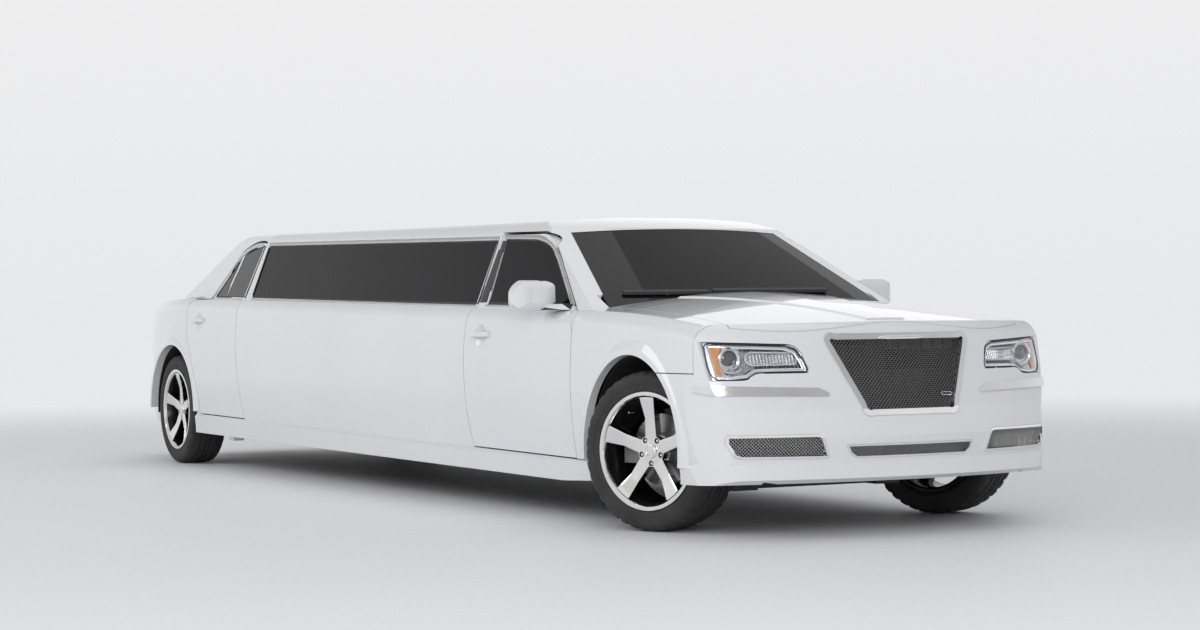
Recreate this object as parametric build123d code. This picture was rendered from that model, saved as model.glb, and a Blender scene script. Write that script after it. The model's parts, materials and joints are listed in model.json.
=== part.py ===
from build123d import *
import os
from math import cos, radians, sin

# White stretch limousine on a full-size sedan base. Millimetres; +X is forward, +Y is the car's left, +Z is up.
# The origin is on the ground, under the middle of the length and width.

# Driving sizes
overall_length = 8346
wheelbase = 6354
front_overhang = 870
body_half_width = 943
panel_gap = 5

nose_x = overall_length / 2
tail_x = -overall_length / 2
front_axle_x = nose_x - front_overhang
rear_axle_x = front_axle_x - wheelbase

# Wall thicknesses
skin = 25
panel_wall = 30
door_wall = 90
cabin_wall = 60
roof_wall = 45
glass_thickness = 6
glass_inset = 4

# Tyres and wheels
tyre_radius = 364
rim_lip_radius = 268
rim_inner_radius = 236
kingpin_y = 735
spindle_radius = 25
running_clearance = 0.05
rest_steer = 22.5
arch_radius = 435
flare_radius = 500
flare_proud = 8
front_well_inner_y = 470
rear_well_inner_y = 640
spoke_count = 5

# Rising lines of the side, each as height at X = 0 and change for each metre forward
line_table = {
    # name: (height at the middle, slope per metre)
    "bottom": (208, -6.1),
    "crease": (308, -9.0),
    "belt": (1052, -20.5),
    "glass_top": (1406, -18.5),
    "rail": (1434, -18.5),
    "roof": (1503, -12.7),
}
shoulder_drop = 85
crease_step = 16


def line_height(name, x):
    """Height of one of the side's rising lines at station x."""
    height, slope = line_table[name]
    return height + slope * x / 1000


# Stations of the lower body. Between the two middle ones the sides run straight.
# columns: x, half width, bottom, crease, shoulder height, edge inset from half width, edge height, crown at 450, crown
middle_rear_x = -2900
middle_front_x = 2600


def straight_station(x, crown_mid, crown):
    belt = line_height("belt", x)
    return (x, body_half_width, line_height("bottom", x), line_height("crease", x),
            belt - shoulder_drop, 55, belt, crown_mid, crown)


front_stations = [
    straight_station(middle_front_x, 1064, 1090),
    (3400, body_half_width, 225, 305, 885, 66, 975, 1012, 1030),
    (4300, body_half_width, 245, 320, 770, 85, 860, 878, 885),
]
rear_stations = [
    straight_station(middle_rear_x, 1150, 1165),
    (-3600, 868, 260, 345, 1012, 60, 1092, 1128, 1138),
    (-4300, 650, 300, 380, 985, 62, 1062, 1092, 1102),
]


def edge_between(start, stop, x, via=None):
    """Line, or arc through via, between two (y, z) points at station x."""
    first = Vector(x, start[0], start[1])
    last = Vector(x, stop[0], stop[1])
    if via is None:
        return Edge.make_line(first, last)
    return Edge.make_three_point_arc(first, Vector(x, via[0], via[1]), last)


def mirrored_wire(x, start, moves):
    """Closed section at station x: moves go from the centre line up the left side and back to the centre line."""
    edges = []
    here = start
    path = []
    for move in moves:
        stop = move[-1]
        via = move[0] if len(move) == 2 else None
        path.append((here, stop, via))
        edges.append(edge_between(here, stop, x, via))
        here = stop
    for begin, stop, via in reversed(path):
        flipped_via = None if via is None else (-via[0], via[1])
        edges.append(edge_between((-stop[0], stop[1]), (-begin[0], begin[1]), x, flipped_via))
    return Wire(edges)


def body_wire(station, side, top, low):
    """Section of the lower body, moved in by side, down by top and up by low."""
    x, half, bottom, crease, shoulder, edge_inset, edge, crown_mid, crown = station
    floor = bottom + low
    crease_z = max(crease, floor + 10)
    moves = [
        ((half - 15 - side, floor),),
        ((half - side, crease_z),),
        ((half - 16 - side, crease_z + crease_step),),
        ((half + 4 - side, 620), (half - 10 - side, shoulder)),
        ((half - 24 - side, shoulder + 0.6 * (edge - shoulder)), (half - edge_inset - side, edge - top)),
        ((450, crown_mid - top), (0, crown - top)),
    ]
    return mirrored_wire(x, (0, floor), moves)


def straight_body(side, low, flat_top_rise):
    """Stretched middle of the lower body between the two middle stations."""
    wires = []
    for station in (rear_stations[0], front_stations[0]):
        belt = station[6]
        top_z = belt + flat_top_rise
        x, half, bottom, crease, shoulder, edge_inset, edge, crown_mid, crown = station
        floor = bottom + low
        crease_z = max(crease, floor + 10)
        moves = [
            ((half - 15 - side, floor),),
            ((half - side, crease_z),),
            ((half - 16 - side, crease_z + crease_step),),
            ((half + 4 - side, 620), (half - 10 - side, shoulder)),
            ((half - 24 - side, shoulder + 0.6 * (edge - shoulder)), (half - edge_inset - side, edge)),
        ]
        if flat_top_rise > 0:
            moves.append(((half - edge_inset - side, top_z),))
        moves.append(((0, top_z),))
        wires.append(mirrored_wire(x, (0, floor), moves))
    return Solid.make_loft(wires, ruled=True)


def end_body(stations, side, top, low):
    """Front or rear end of the lower body, through three stations."""
    return Solid.make_loft([body_wire(s, side, top, low) for s in stations])


def outline_face(points, place):
    """Face from corner points; an item that is a pair of points is an arc's middle and end."""
    edges = []
    here = points[0]
    last = points[-1][1] if isinstance(points[-1][0], tuple) else points[-1]
    closing = [] if last == points[0] else [points[0]]
    for item in points[1:] + closing:
        if isinstance(item[0], tuple):
            via, stop = item
            edges.append(Edge.make_three_point_arc(place(here), place(via), place(stop)))
        else:
            stop = item
            edges.append(Edge.make_line(place(here), place(stop)))
        here = stop
    return Face(Wire(edges))


def xz_face(points):
    """Face in the side view."""
    return outline_face(points, lambda p: Vector(p[0], 0, p[1]))


def yz_face(points):
    """Face seen from the front."""
    return outline_face(points, lambda p: Vector(0, p[0], p[1]))


def xy_face(points):
    """Face in plan."""
    return outline_face(points, lambda p: Vector(p[0], p[1], 0))


def grown(face, amount):
    """Face grown all round, or shrunk by a negative amount."""
    return offset(face, amount, kind=Kind.ARC).faces()[0] if amount else face


def face_prism(face, run, start):
    """Face moved to start and extruded along run, both as (x, y, z)."""
    return Solid.extrude(face.moved(Location(start)).faces()[0], Vector(*run))


def side_prism(points, y_from, y_to, grow=0):
    """Outline in the side view, extruded from y_from to y_to."""
    return face_prism(grown(xz_face(points), grow), (0, y_to - y_from, 0), (0, y_from, 0))


def front_prism(points, x_from, x_to, grow=0):
    """Outline seen from the front, extruded from x_from to x_to."""
    return face_prism(grown(yz_face(points), grow), (x_to - x_from, 0, 0), (x_from, 0, 0))


def plan_prism(points, z_from, z_to, grow=0):
    """Outline in plan, extruded from z_from to z_to."""
    return face_prism(grown(xy_face(points), grow), (0, 0, z_to - z_from), (0, 0, z_from))


def block(x0, x1, y0, y1, z0, z1):
    """Box between two corners."""
    return Pos((x0 + x1) / 2, (y0 + y1) / 2, (z0 + z1) / 2) * Box(abs(x1 - x0), abs(y1 - y0), abs(z1 - z0))


def spun(points, axis_x):
    """Side-view outline turned about the upright axis at axis_x."""
    return Solid.revolve(xz_face(points), 360, Axis((axis_x, 0, 0), (0, 0, 1)))


def y_cylinder(x, z, radius, y_from, y_to):
    """Cylinder across the car."""
    middle = (y_from + y_to) / 2
    return Pos(x, middle, z) * Rot(90, 0, 0) * Cylinder(radius, abs(y_to - y_from))


def flipped(shape):
    """The same thing on the other side of the car."""
    return mirror(shape, about=Plane.XZ)


def both_sides(shape):
    """Left and right copies together."""
    return Compound(children=list_solids(shape) + list_solids(flipped(shape)))


def list_solids(shape):
    """Solids of a shape, largest first."""
    return sorted(shape.solids(), key=lambda s: -s.volume)


def main_solid(shape):
    """Largest solid of a cut."""
    return list_solids(shape)[0]


# Nose: its side view turned about an upright axis, so that the whole front bows the same way.
nose_bow_radius = 2195
nose_axis_x = nose_x - nose_bow_radius
lip_bottom = 245
grille_foot = (4158, 560)
grille_head = (4063, 885)


def nose_solid(inset):
    return spun([
        (nose_axis_x, 100),
        (nose_x - 60 - inset, 100),
        (nose_x - 40 - inset, lip_bottom - 5),
        (nose_x - inset, lip_bottom + 15),
        (nose_x - 12 - inset, 330),
        (nose_x - inset, 440),
        (nose_x - 10 - inset, 520),
        (grille_foot[0] - inset, grille_foot[1]),
        (grille_head[0] - inset, grille_head[1] - 0.3 * inset),
        ((4040 - inset, 922 - 0.6 * inset), (3990 - inset, 944 - inset)),
        (3500, 1030 + 30),
        (2400, 1300),
        (nose_axis_x, 1300),
    ], nose_axis_x)


def corner_prism(inset):
    """Plan of the front corners, which round off faster than the nose's bow."""
    x_back = middle_front_x - 200
    y_back = body_half_width + 60
    points = [
        (x_back, -y_back),
        (3740, -(body_half_width + 5 - inset)),
        ((3945 - 0.7 * inset, -(885 - 0.8 * inset)), (4035 - inset, -(780 - 0.6 * inset))),
        (4300 - inset, 0),
        (4035 - inset, 780 - 0.6 * inset),
        ((3945 - 0.7 * inset, 885 - 0.8 * inset), (3740, body_half_width + 5 - inset)),
        (x_back, y_back),
    ]
    return plan_prism(points, 50, 1400)


# Tail: its side view turned about an upright axis.
tail_bow_radius = 2600
tail_axis_x = tail_x + tail_bow_radius


def tail_solid(inset):
    return spun([
        (tail_axis_x, 100),
        (tail_x + 150 + inset, 100),
        (tail_x + 120 + inset, 300),
        (tail_x + 30 + inset, 350),
        (tail_x + inset, 470),
        (tail_x + inset, 640),
        (tail_x + 22 + inset, 690),
        (tail_x + 50 + inset, 705),
        (tail_x + 58 + inset, 900),
        (tail_x + 85 + inset, 1050),
        ((tail_x + 108 + inset, 1094 - 0.8 * inset), (tail_x + 160 + inset, 1112 - inset)),
        (-3300, 1300),
        (tail_axis_x, 1300),
    ], tail_axis_x)


def front_end(side, top, low):
    return end_body(front_stations, side, top, low) & nose_solid(top) & corner_prism(side)


def rear_end(side, top, low):
    return end_body(list(reversed(rear_stations)), side, top, low) & tail_solid(top)


# Cabin above the belt: straight section, tapered behind, closed by the windshield and rear window.
cabin_front_x = 3100
taper_start_x = -1870
cabin_rear_x = -3700
taper_rate = 0.10
belt_half = 875
rail_half = 690
shield_axis_x = 417
header_point = (2148, 1417)
shield_foot = (2817, 1080)
rear_header_point = (-2760, 1472)
rear_foot = (-3490, 1148)
rear_glass_axis_x = -1300


def cabin_wire(x, inset, top, base_drop):
    taper = max(0, taper_start_x - x) * taper_rate
    side = inset * 1.1
    belt = line_height("belt", x)
    rail = line_height("rail", x)
    roof = line_height("roof", x)
    foot_half = belt_half - taper - side + base_drop * 0.484
    return mirrored_wire(x, (0, belt - base_drop), [
        ((foot_half, belt - base_drop),),
        ((rail_half - taper - side, rail),),
        ((rail_half - 38 - taper - side, rail + 34 - 0.8 * top), (rail_half - 100 - taper - side, roof - 20 - top)),
        ((300, roof - 4 - top), (0, roof - top)),
    ])


def slope_point(start, stop, x):
    """Point at x on the line through start and stop."""
    share = (x - start[0]) / (stop[0] - start[0])
    return (x, start[1] + share * (stop[1] - start[1]))


def shield_solid(inset):
    low_point = slope_point(header_point, shield_foot, 3100)
    return spun([
        (shield_axis_x, 700),
        (3100 - inset, 700),
        (low_point[0] - inset, low_point[1]),
        (header_point[0] - inset, header_point[1]),
        ((1838 - inset, 1480.5), (1500 - inset, 1502)),
        (1500 - inset, 1620),
        (shield_axis_x, 1620),
    ], shield_axis_x)


def rear_glass_solid(inset):
    low_point = slope_point(rear_header_point, rear_foot, -3700)
    return spun([
        (rear_glass_axis_x, 700),
        (-3700 + inset, 700),
        (low_point[0] + inset, low_point[1]),
        (rear_header_point[0] + inset, rear_header_point[1]),
        ((-2440 + inset, 1535), (-2050 + inset, 1552)),
        (-2050 + inset, 1650),
        (rear_glass_axis_x, 1650),
    ], rear_glass_axis_x)


def cabin_solid(inset, top, base_drop=5):
    """Cabin above the belt as one closed form, moved in by inset and down by top."""
    stations = [cabin_rear_x, taper_start_x, shield_axis_x, cabin_front_x]
    wires = [cabin_wire(x, inset, top, base_drop) for x in stations]
    rear = Solid.make_loft(wires[0:2], ruled=True) & rear_glass_solid(inset)
    middle = Solid.make_loft(wires[1:3], ruled=True)
    front = Solid.make_loft(wires[2:4], ruled=True) & shield_solid(inset)
    return middle + rear + front


# Closed forms that the panels are cut from
outer_straight = straight_body(0, 0, 0)
outer_front = front_end(0, 0, 0)
outer_rear = rear_end(0, 0, 0)


def flare_ring(axle_x):
    """Raised lip round a left wheel arch."""
    side = body_half_width + flare_proud
    profile = [
        (arch_radius, side - 60),
        (arch_radius, side + 4),
        (arch_radius + 28, side + 3),
        (flare_radius, side - flare_proud - 6),
        (flare_radius, side - 60),
    ]
    edges = []
    for index, (r, y) in enumerate(profile):
        r_next, y_next = profile[(index + 1) % len(profile)]
        edges.append(Edge.make_line(Vector(axle_x + r, y, tyre_radius), Vector(axle_x + r_next, y_next, tyre_radius)))
    ring = Solid.revolve(Face(Wire(edges)), 360, Axis((axle_x, 0, tyre_radius), (0, 1, 0)))
    return ring & block(axle_x - 600, axle_x + 600, 0, 1100, line_height("crease", axle_x) + 30, 1000)


front_flare = flare_ring(front_axle_x)
rear_flare = flare_ring(rear_axle_x)
front_well = y_cylinder(front_axle_x, tyre_radius, arch_radius, front_well_inner_y, 1200)
rear_well = y_cylinder(rear_axle_x, tyre_radius, arch_radius, rear_well_inner_y, 1200)
front_wells = [front_well, flipped(front_well)]
rear_wells = [rear_well, flipped(rear_well)]

low_height = 112
outer_low = outer_straight + outer_front + outer_rear
inner_wall = straight_body(door_wall, low_height, 20) + front_end(door_wall, panel_wall, low_height)
inner_skin = straight_body(skin, 10, 20) + front_end(skin, panel_wall, 10)
inner_front = front_end(panel_wall, panel_wall, 60)
inner_rear = rear_end(panel_wall, panel_wall, 60) + straight_body(panel_wall, low_height, 20)
wall_shell = outer_low - inner_wall
skin_shell = outer_low - inner_skin
front_shell = outer_front - inner_front
rear_shell = outer_low - inner_rear

cabin_outer = cabin_solid(0, 0)
cabin_inner = cabin_solid(cabin_wall, roof_wall)
frame_inner = cabin_solid(36, 36)
glass_outer = cabin_solid(glass_inset, glass_inset)
glass_inner = cabin_solid(glass_inset + glass_thickness, glass_inset + glass_thickness)
cabin_shell = cabin_outer - cabin_inner
frame_shell = cabin_outer - frame_inner
glass_shell = glass_outer - glass_inner

# Shut lines in the side view
sill_gap_z = crease_step + 6


def on_line(name, x, rise=0):
    """Point on a rising line."""
    return (x, line_height(name, x) + rise)


front_door_points = [
    on_line("crease", 2744, sill_gap_z),
    ((2720, 620), (2718, 840)),
    ((2706, 928), (2664, 1000)),
    (2150, 1343),
    ((2060, 1385), (1950, line_height("rail", 1950))),
    on_line("rail", 1518),
    (1562, 1032),
    (1545, 840),
    ((1560, 600), on_line("crease", 1627, sill_gap_z)),
]
rear_door_points = [
    on_line("crease", -1727, sill_gap_z),
    ((-1800, 600), (-1834, 900)),
    (-1839, 1100),
    on_line("rail", -1902, -12),
    ((-2190, 1458), (-2400, 1408)),
    (-2682, 1112),
    (-2766, 1070),
    (-2762, 880),
    ((-2640, 650), (-2560, 470)),
    on_line("crease", -2535, sill_gap_z),
]
door_upper_gap = 8
door_inner_y = body_half_width - door_wall - 8


def window_points(front_bottom, front_top, rear_top, rear_bottom, extra=0):
    """Window outline between the belt and the glass line."""
    return [
        on_line("belt", front_bottom, 16 - extra),
        on_line("glass_top", front_top, extra),
        on_line("glass_top", rear_top, extra),
        on_line("belt", rear_bottom, 16 - extra),
    ]


long_window = window_points(1540, 1478, -1829, -1733)
front_door_window = [
    (2585, 1024),
    (2242, 1253),
    ((2150, 1322), (2030, line_height("glass_top", 2030) - 6)),
    on_line("glass_top", 1573),
    on_line("belt", 1672, 16),
]
rear_door_window = [
    on_line("belt", -1876, 16),
    on_line("glass_top", -1934, -10),
    ((-2120, 1424), (-2318, 1384)),
    on_line("belt", -2322, 16),
]
quarter_window = [
    on_line("belt", -2352, 16),
    (-2350, 1372),
    (-2410, 1335),
    on_line("belt", -2600, 16),
]

# Openings seen from the front, for the windshield and rear window
shield_opening = front_prism([(-815, 950), (815, 950), (600, 1393), ((0, 1411), (-600, 1393))], 1500, 3300)
rear_opening = front_prism([(-690, 1050), (690, 1050), (560, 1430), ((0, 1452), (-560, 1430))], -3800, -2300)


def side_pane(window):
    """Left pane that fills a window."""
    cut = side_prism(window, 600, 1000)
    return main_solid((cut & glass_outer) - (cut & glass_inner))


def side_door(points, windows):
    """Left door's solid, its opening and its panes."""
    below = block(-4000, 4000, door_inner_y, 1000, 200, 1100)
    skin_part = skin_shell & side_prism(points, door_inner_y, 1000) & below
    wall_part = wall_shell & side_prism(points, door_inner_y, 1000, -15) & below
    frame_zone = side_prism(points, 450, 1000, -door_upper_gap)
    frame_part = (frame_shell & frame_zone) - shield_opening - outer_front
    body = skin_part + wall_part + frame_part
    panes = []
    for window in windows:
        cut = side_prism(window, 300, 1000)
        body = body - cut
        panes.append(side_pane(window))
    opening = side_prism(points, 300, 1200, panel_gap + 1)
    return main_solid(body), opening, panes


front_door, front_opening, front_panes = side_door(front_door_points, [front_door_window])
rear_door, rear_side_opening, rear_panes = side_door(rear_door_points, [rear_door_window, quarter_window])
long_glass = side_pane(long_window)

# Outlines seen from above
hood_rear_x = 2845
hood_points = [
    (hood_rear_x, -785),
    (3890, -775),
    ((3975, -560), (4006, 0)),
    ((3975, 560), (3890, 775)),
    (hood_rear_x, 785),
]
roof_split = 560
roof_points = [
    (3300, -roof_split),
    (3300, roof_split),
    (taper_start_x, roof_split),
    (cabin_rear_x, roof_split + taper_rate * (cabin_rear_x - taper_start_x)),
    (cabin_rear_x, -roof_split - taper_rate * (cabin_rear_x - taper_start_x)),
    (taper_start_x, -roof_split),
]
trunk_half = 640
trunk_front_x = -3535
trunk_floor_z = 745
fascia_split_z = 721
fascia_split_x = 3845
rear_fascia_z = 700


# Hood: skin with a turned-down front edge
hood_cut = plan_prism(hood_points, 700, 1300, panel_gap)
bulge_rise = 6
bulge_stations = [
    # x, half width at the surface, height of the surface
    (hood_rear_x - 15, 385, 1077),
    (3960, 118, 944),
]


def bulge_wire(x, half, z):
    """Section of the hood's raised middle, with sloping sides."""
    return mirrored_wire(x, (0, z - 60), [((half + 150, z - 60),), ((half - 150, z + 60),), ((0, z + 60),)])


bulge_wedge = Solid.make_loft([bulge_wire(*station) for station in bulge_stations], ruled=True)
bulge = (bulge_wedge & front_end(0, -bulge_rise, 0) & plan_prism(hood_points, 895, 1300)) - inner_front
hood = main_solid(front_shell & plan_prism(hood_points, 895, 1300))
hood = main_solid(hood + bulge)

# Fenders, front fascia and cowl
cowl_zone = block(2700, 2900, -785, 785, 900, 1200) - hood_cut
fender_zone = (block(2725, fascia_split_x, 0, 1100, fascia_split_z + 2, 1200)
               + block(2725, front_axle_x, 0, 1100, 0, 1200))
front_skin = front_shell - hood_cut - cowl_zone
left_front = (front_skin + (front_flare - inner_front)) & block(2600, 4300, 0, 1100, 0, 1200)
left_front = left_front - front_well
fender = main_solid((left_front & fender_zone & block(2600, 4300, 600, 1100, 0, 1200)) - front_opening)

lamp_shape = [
    (480, 722), (475, 738), (489, 782), ((512, 826), (560, 843)), (885, 856), (960, 858), (960, 700),
    (870, 692), ((800, 690), (740, 697)), ((705, 720), (664, 722)),
]
lamp_outer_line = [(3856, 870), (3922, 690), (4400, 690), (4400, 870)]
lamp_lens = (3, 7)
lamp_depth = 95
lamp_wall = 6
projector_places = ((778, 780, 40), (640, 782, 33))
projector_length = 52


def lamp_zone(grow):
    """Space of the left headlight, seen from the front and cut back along its outer edge."""
    side = [(x - grow, z) for x, z in lamp_outer_line[:2]] + lamp_outer_line[2:]
    return front_prism(lamp_shape, 3700, 4300, grow) & side_prism(side, 0, 1200)


def nose_layer(shape, outside, inside):
    """Part of a shape between two depths in the nose."""
    return (shape & nose_solid(outside) & corner_prism(outside)) - (nose_solid(inside) & corner_prism(inside))


lens = main_solid(nose_layer(lamp_zone(0), *lamp_lens))
lamp_case = nose_layer(lamp_zone(0), lamp_lens[1] + 0.3, lamp_depth)
lamp_case = main_solid(lamp_case - nose_layer(lamp_zone(-lamp_wall), lamp_lens[1] - 1, lamp_depth - lamp_wall))
for lamp_y, lamp_z, lamp_r in projector_places:
    barrel = Pos(3930, lamp_y, lamp_z) * Rot(0, 90, 0) * (Cylinder(lamp_r, 400) - Cylinder(lamp_r - 5, 500))
    lamp_case = lamp_case + nose_layer(barrel, lamp_depth - lamp_wall - projector_length, lamp_depth - 1)
    bulb = Pos(3930, lamp_y, lamp_z) * Rot(0, 90, 0) * Cylinder(lamp_r - 4, 400)
    lamp_case = lamp_case + nose_layer(bulb, lamp_depth - lamp_wall - 34, lamp_depth - lamp_wall - 28)
lamp_case = main_solid(lamp_case)
lamp_cut = lamp_zone(panel_gap - 2)

grille_shape = [
    (-383, 846), ((-372, 884), (-330, 888)), (330, 888), ((372, 884), (383, 846)),
    (262, 575), ((240, 534), (200, 530)), (-200, 530), ((-240, 534), (-262, 575)),
]
fog_shape = [(414, 357), (448, 447), (470, 456), (850, 456), (858, 446), (858, 418), (829, 362), (796, 351), (422, 348)]
centre_shape = [(-291, 346), (-322, 368), (-339, 406), (339, 406), (322, 368), (291, 346)]


def nose_prism(points, grow=0):
    """Outline of an opening in the nose, run right through it."""
    return front_prism(points, 3600, 4300, grow)


grille_proud = 8
frame_width = 26
grille_depth = 40
fascia_zone = (block(front_axle_x, 4400, -1100, 1100, 0, fascia_split_z - 2)
               + block(fascia_split_x + 4, 4400, -1100, 1100, fascia_split_z - 4, 1200))
both_front = front_skin + (front_flare - inner_front) + (flipped(front_flare) - inner_front)
fascia = both_front & fascia_zone
for cutter in [front_well, flipped(front_well), lamp_cut, flipped(lamp_cut), nose_prism(grille_shape),
               nose_prism(fog_shape), flipped(nose_prism(fog_shape)), nose_prism(centre_shape)]:
    fascia = fascia - cutter
front_fascia = main_solid(fascia - block(3200, 4040, -700, 700, 0, 330))
fender = main_solid(fender - lamp_cut - side_prism([(2600, 0), (3303, 0), (3303, 290), (2600, 306)], 600, 1100))


def nose_sheet(points, outside, inside, grow=0):
    """Part of the nose between two depths, within an outline seen from the front."""
    return nose_layer(nose_prism(points, grow), outside, inside)


mesh_seat = 0.3


def grille_frame(points, depth, proud, width):
    """Chrome surround of a grille opening."""
    band = nose_prism(points, -mesh_seat) - nose_prism(points, -width)
    return main_solid(nose_layer(band, -proud, depth))


def grille_mesh(points, width, pitch, rows, y_from, y_to, bar=5):
    """Crossing bars inside a grille opening: rows at the given heights, uprights at every pitch."""
    sheet = nose_sheet(points, 18, 24, -mesh_seat - width)
    low = rows[0] - 60
    high = rows[-1] + 60
    count = int((y_to - y_from) / pitch)
    bars = [block(3600, 4300, y_from - 60, y_to + 60, z - bar / 2, z + bar / 2) for z in rows]
    for step in range(count + 1):
        middle = (y_from + y_to) / 2 + (step - count / 2) * pitch
        bars.append(block(3600, 4300, middle - bar / 2, middle + bar / 2, low, high))
    return main_solid(sheet & bars[0].fuse(*bars[1:]))


main_frame = main_solid(grille_frame(grille_shape, grille_depth, grille_proud, frame_width) - hood_cut)
main_mesh = grille_mesh(grille_shape, frame_width, 64, [590 + 45 * k for k in range(7)], -320, 320)

fog_mesh = grille_mesh(fog_shape, 12, 42, [388, 404], 412, 832, 4)
fog_frame = grille_frame(fog_shape, 30, 4, 12)
centre_mesh = grille_mesh(centre_shape, 8, 44, [373], -264, 264, 4)
centre_frame = grille_frame(centre_shape, 30, 4, 8)

# Chrome strips under the headlights
strip_shape = [(404, 619), (404, 633), (448, 655), (905, 670), (940, 668), (940, 640), (905, 628)]
bumper_strip = main_solid(nose_sheet(strip_shape, -10, 0))

# Cowl between the hood and the windshield
cowl = main_solid(front_shell & cowl_zone)

# Fixed side of the body: sill, stretch panel, pillars, quarter and roof rail
sill_line = crease_step
rear_quarter_x = -2765
wall_zone = block(rear_quarter_x, 2718, 760, 1000, 0, 1200)
sill_front = front_axle_x - arch_radius
sill_zone = side_prism([(2718, 0), (sill_front + 20, 0), on_line("crease", sill_front + 20, sill_line),
                        on_line("crease", 2718, sill_line)], 760, 1000)
quarter_zone = block(-4300, rear_quarter_x, trunk_half + panel_gap, 1100, 0, 1300)
side_wall = wall_shell & (wall_zone + sill_zone)
quarter = (rear_shell & quarter_zone) + (rear_flare - inner_rear)
roof_zone = plan_prism(roof_points, 1150, 1700)
cabin_side = (cabin_shell - roof_zone) & block(-4000, 3300, 0, 1100, 900, 1700)
cabin_side = cabin_side - outer_front - shield_opening - rear_opening
tail_lamp_shape = [(654, 760), (654, 1000), (680, 1015), (900, 1015), (900, 722), (690, 722)]
tail_lamp_front_x = -3900


def tail_prism(grow):
    """Space of the left tail lamp, seen from behind."""
    return front_prism(tail_lamp_shape, -4400, tail_lamp_front_x + grow, grow)


rear_fascia_zone = (block(-4400, rear_axle_x, -1100, 1100, 0, rear_fascia_z)
                    + block(-4400, -3900, -trunk_half - 5, trunk_half + 5, 0, trunk_floor_z - panel_gap))
trunk_zone = block(-4400, trunk_front_x, -trunk_half, trunk_half, trunk_floor_z, 1300)
left_side = side_wall + quarter + cabin_side
for cutter in [front_opening, rear_side_opening, side_prism(long_window, 300, 1000), rear_well, front_well,
               hood_cut, rear_fascia_zone, tail_prism(panel_gap - 2), cowl_zone,
               block(-4400, trunk_front_x + panel_gap, 0, trunk_half + panel_gap, trunk_floor_z - 10, 1300)]:
    left_side = left_side - cutter
body_side = main_solid(left_side)

roof = (cabin_shell & roof_zone) - shield_opening - rear_opening
roof = main_solid(roof)
windshield = main_solid((glass_shell & shield_opening & block(2000, 3300, -900, 900, 950, 1500)) - outer_low)
rear_window = main_solid((glass_shell & rear_opening & block(-3800, -2500, -900, 900, 950, 1500)) - outer_low)

# Rear end
tail_lamp = main_solid((tail_prism(0) & rear_end(3, 3, 0)) - tail_solid(70))
plate_hole_spacing = 178
plate_hole_radius = 3.25
plate_z = 860
plate_face_x = -4128
tail_panel = rear_shell & trunk_zone
plate_pad = block(plate_face_x, -4075, -165, 165, plate_z - 62, plate_z + 62) - inner_rear
trunk_lid = tail_panel + plate_pad
for side in (-1, 1):
    trunk_lid = trunk_lid - (Pos(plate_face_x, side * plate_hole_spacing / 2, plate_z) * Rot(0, 90, 0)
                             * Cylinder(plate_hole_radius, 120))
trunk_lid = trunk_lid - tail_prism(panel_gap - 2) - flipped(tail_prism(panel_gap - 2))
trunk_lid = main_solid(trunk_lid)
tip_y = 430
tip_z = 350
tip_radius = 44
rear_fascia = (rear_shell & rear_fascia_zone) + ((rear_flare - inner_rear) & rear_fascia_zone)
rear_fascia = rear_fascia + ((flipped(rear_flare) - inner_rear) & rear_fascia_zone)
for side in (-1, 1):
    rear_fascia = rear_fascia - (Pos(-4100, side * tip_y, tip_z) * Rot(0, 90, 0) * Cylinder(tip_radius + 8, 400))
for cutter in [rear_well, flipped(rear_well), block(-3990, -3000, -720, 720, 0, 420)]:
    rear_fascia = rear_fascia - cutter
rear_fascia = main_solid(rear_fascia)
parcel_shelf = main_solid(rear_shell & block(trunk_front_x + panel_gap, -3100, -trunk_half, trunk_half, 1000, 1300))

# Floor with tunnel, bulkhead and luggage floor
floor_points = [
    (2670, 975), (2610, 570), (2440, 310), (-2430, 330), (-2530, 530), (-4045, 530),
    (-4045, 498), (-2552, 498), (-2450, 300), (2455, 280), (2642, 560), (2705, 975),
]
floor_half = 760
tunnel_half = 160
tunnel_wall = 25
floor_pan = side_prism(floor_points, -floor_half, floor_half)
tunnel = block(-2560, 2660, -tunnel_half, tunnel_half, 280, 480)
tunnel_space = block(-2600, 2700, -tunnel_half + tunnel_wall, tunnel_half - tunnel_wall, 200, 480 - tunnel_wall)
floor_pan = floor_pan + tunnel - tunnel_space
for cutter in rear_wells + front_wells:
    floor_pan = floor_pan - cutter
rear_side_cut = block(-4200, -2560, 640, 1000, 0, 1200)
floor_pan = floor_pan - rear_side_cut - flipped(rear_side_cut)
floor_pan = main_solid(floor_pan)


# Wheel liners
liner_wall = 6


def liner(axle_x, inner_y, outer_y):
    """Dark arch lining of a left wheel, open below and to the side."""
    shell = y_cylinder(axle_x, tyre_radius, arch_radius, inner_y, outer_y)
    shell = shell - y_cylinder(axle_x, tyre_radius, arch_radius - liner_wall, inner_y + liner_wall, outer_y + 10)
    shell = shell - block(axle_x - 600, axle_x + 600, 0, 1200, 0, 330)
    arm_way = block(axle_x - 110, axle_x + 110, inner_y - 20, inner_y + 40, 300, 640)
    return main_solid(shell - arm_way)


front_liner = liner(front_axle_x, front_well_inner_y, 905)
rear_liner = liner(rear_axle_x, rear_well_inner_y, 905)

# Front frame with its arms, and the rear suspension
rail_inner = 330
rail_outer = 410
arm_low_z = (tyre_radius - 188, tyre_radius - 162)
arm_high_z = (tyre_radius + 164, tyre_radius + 186)
knuckle_gap = 0.5


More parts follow.
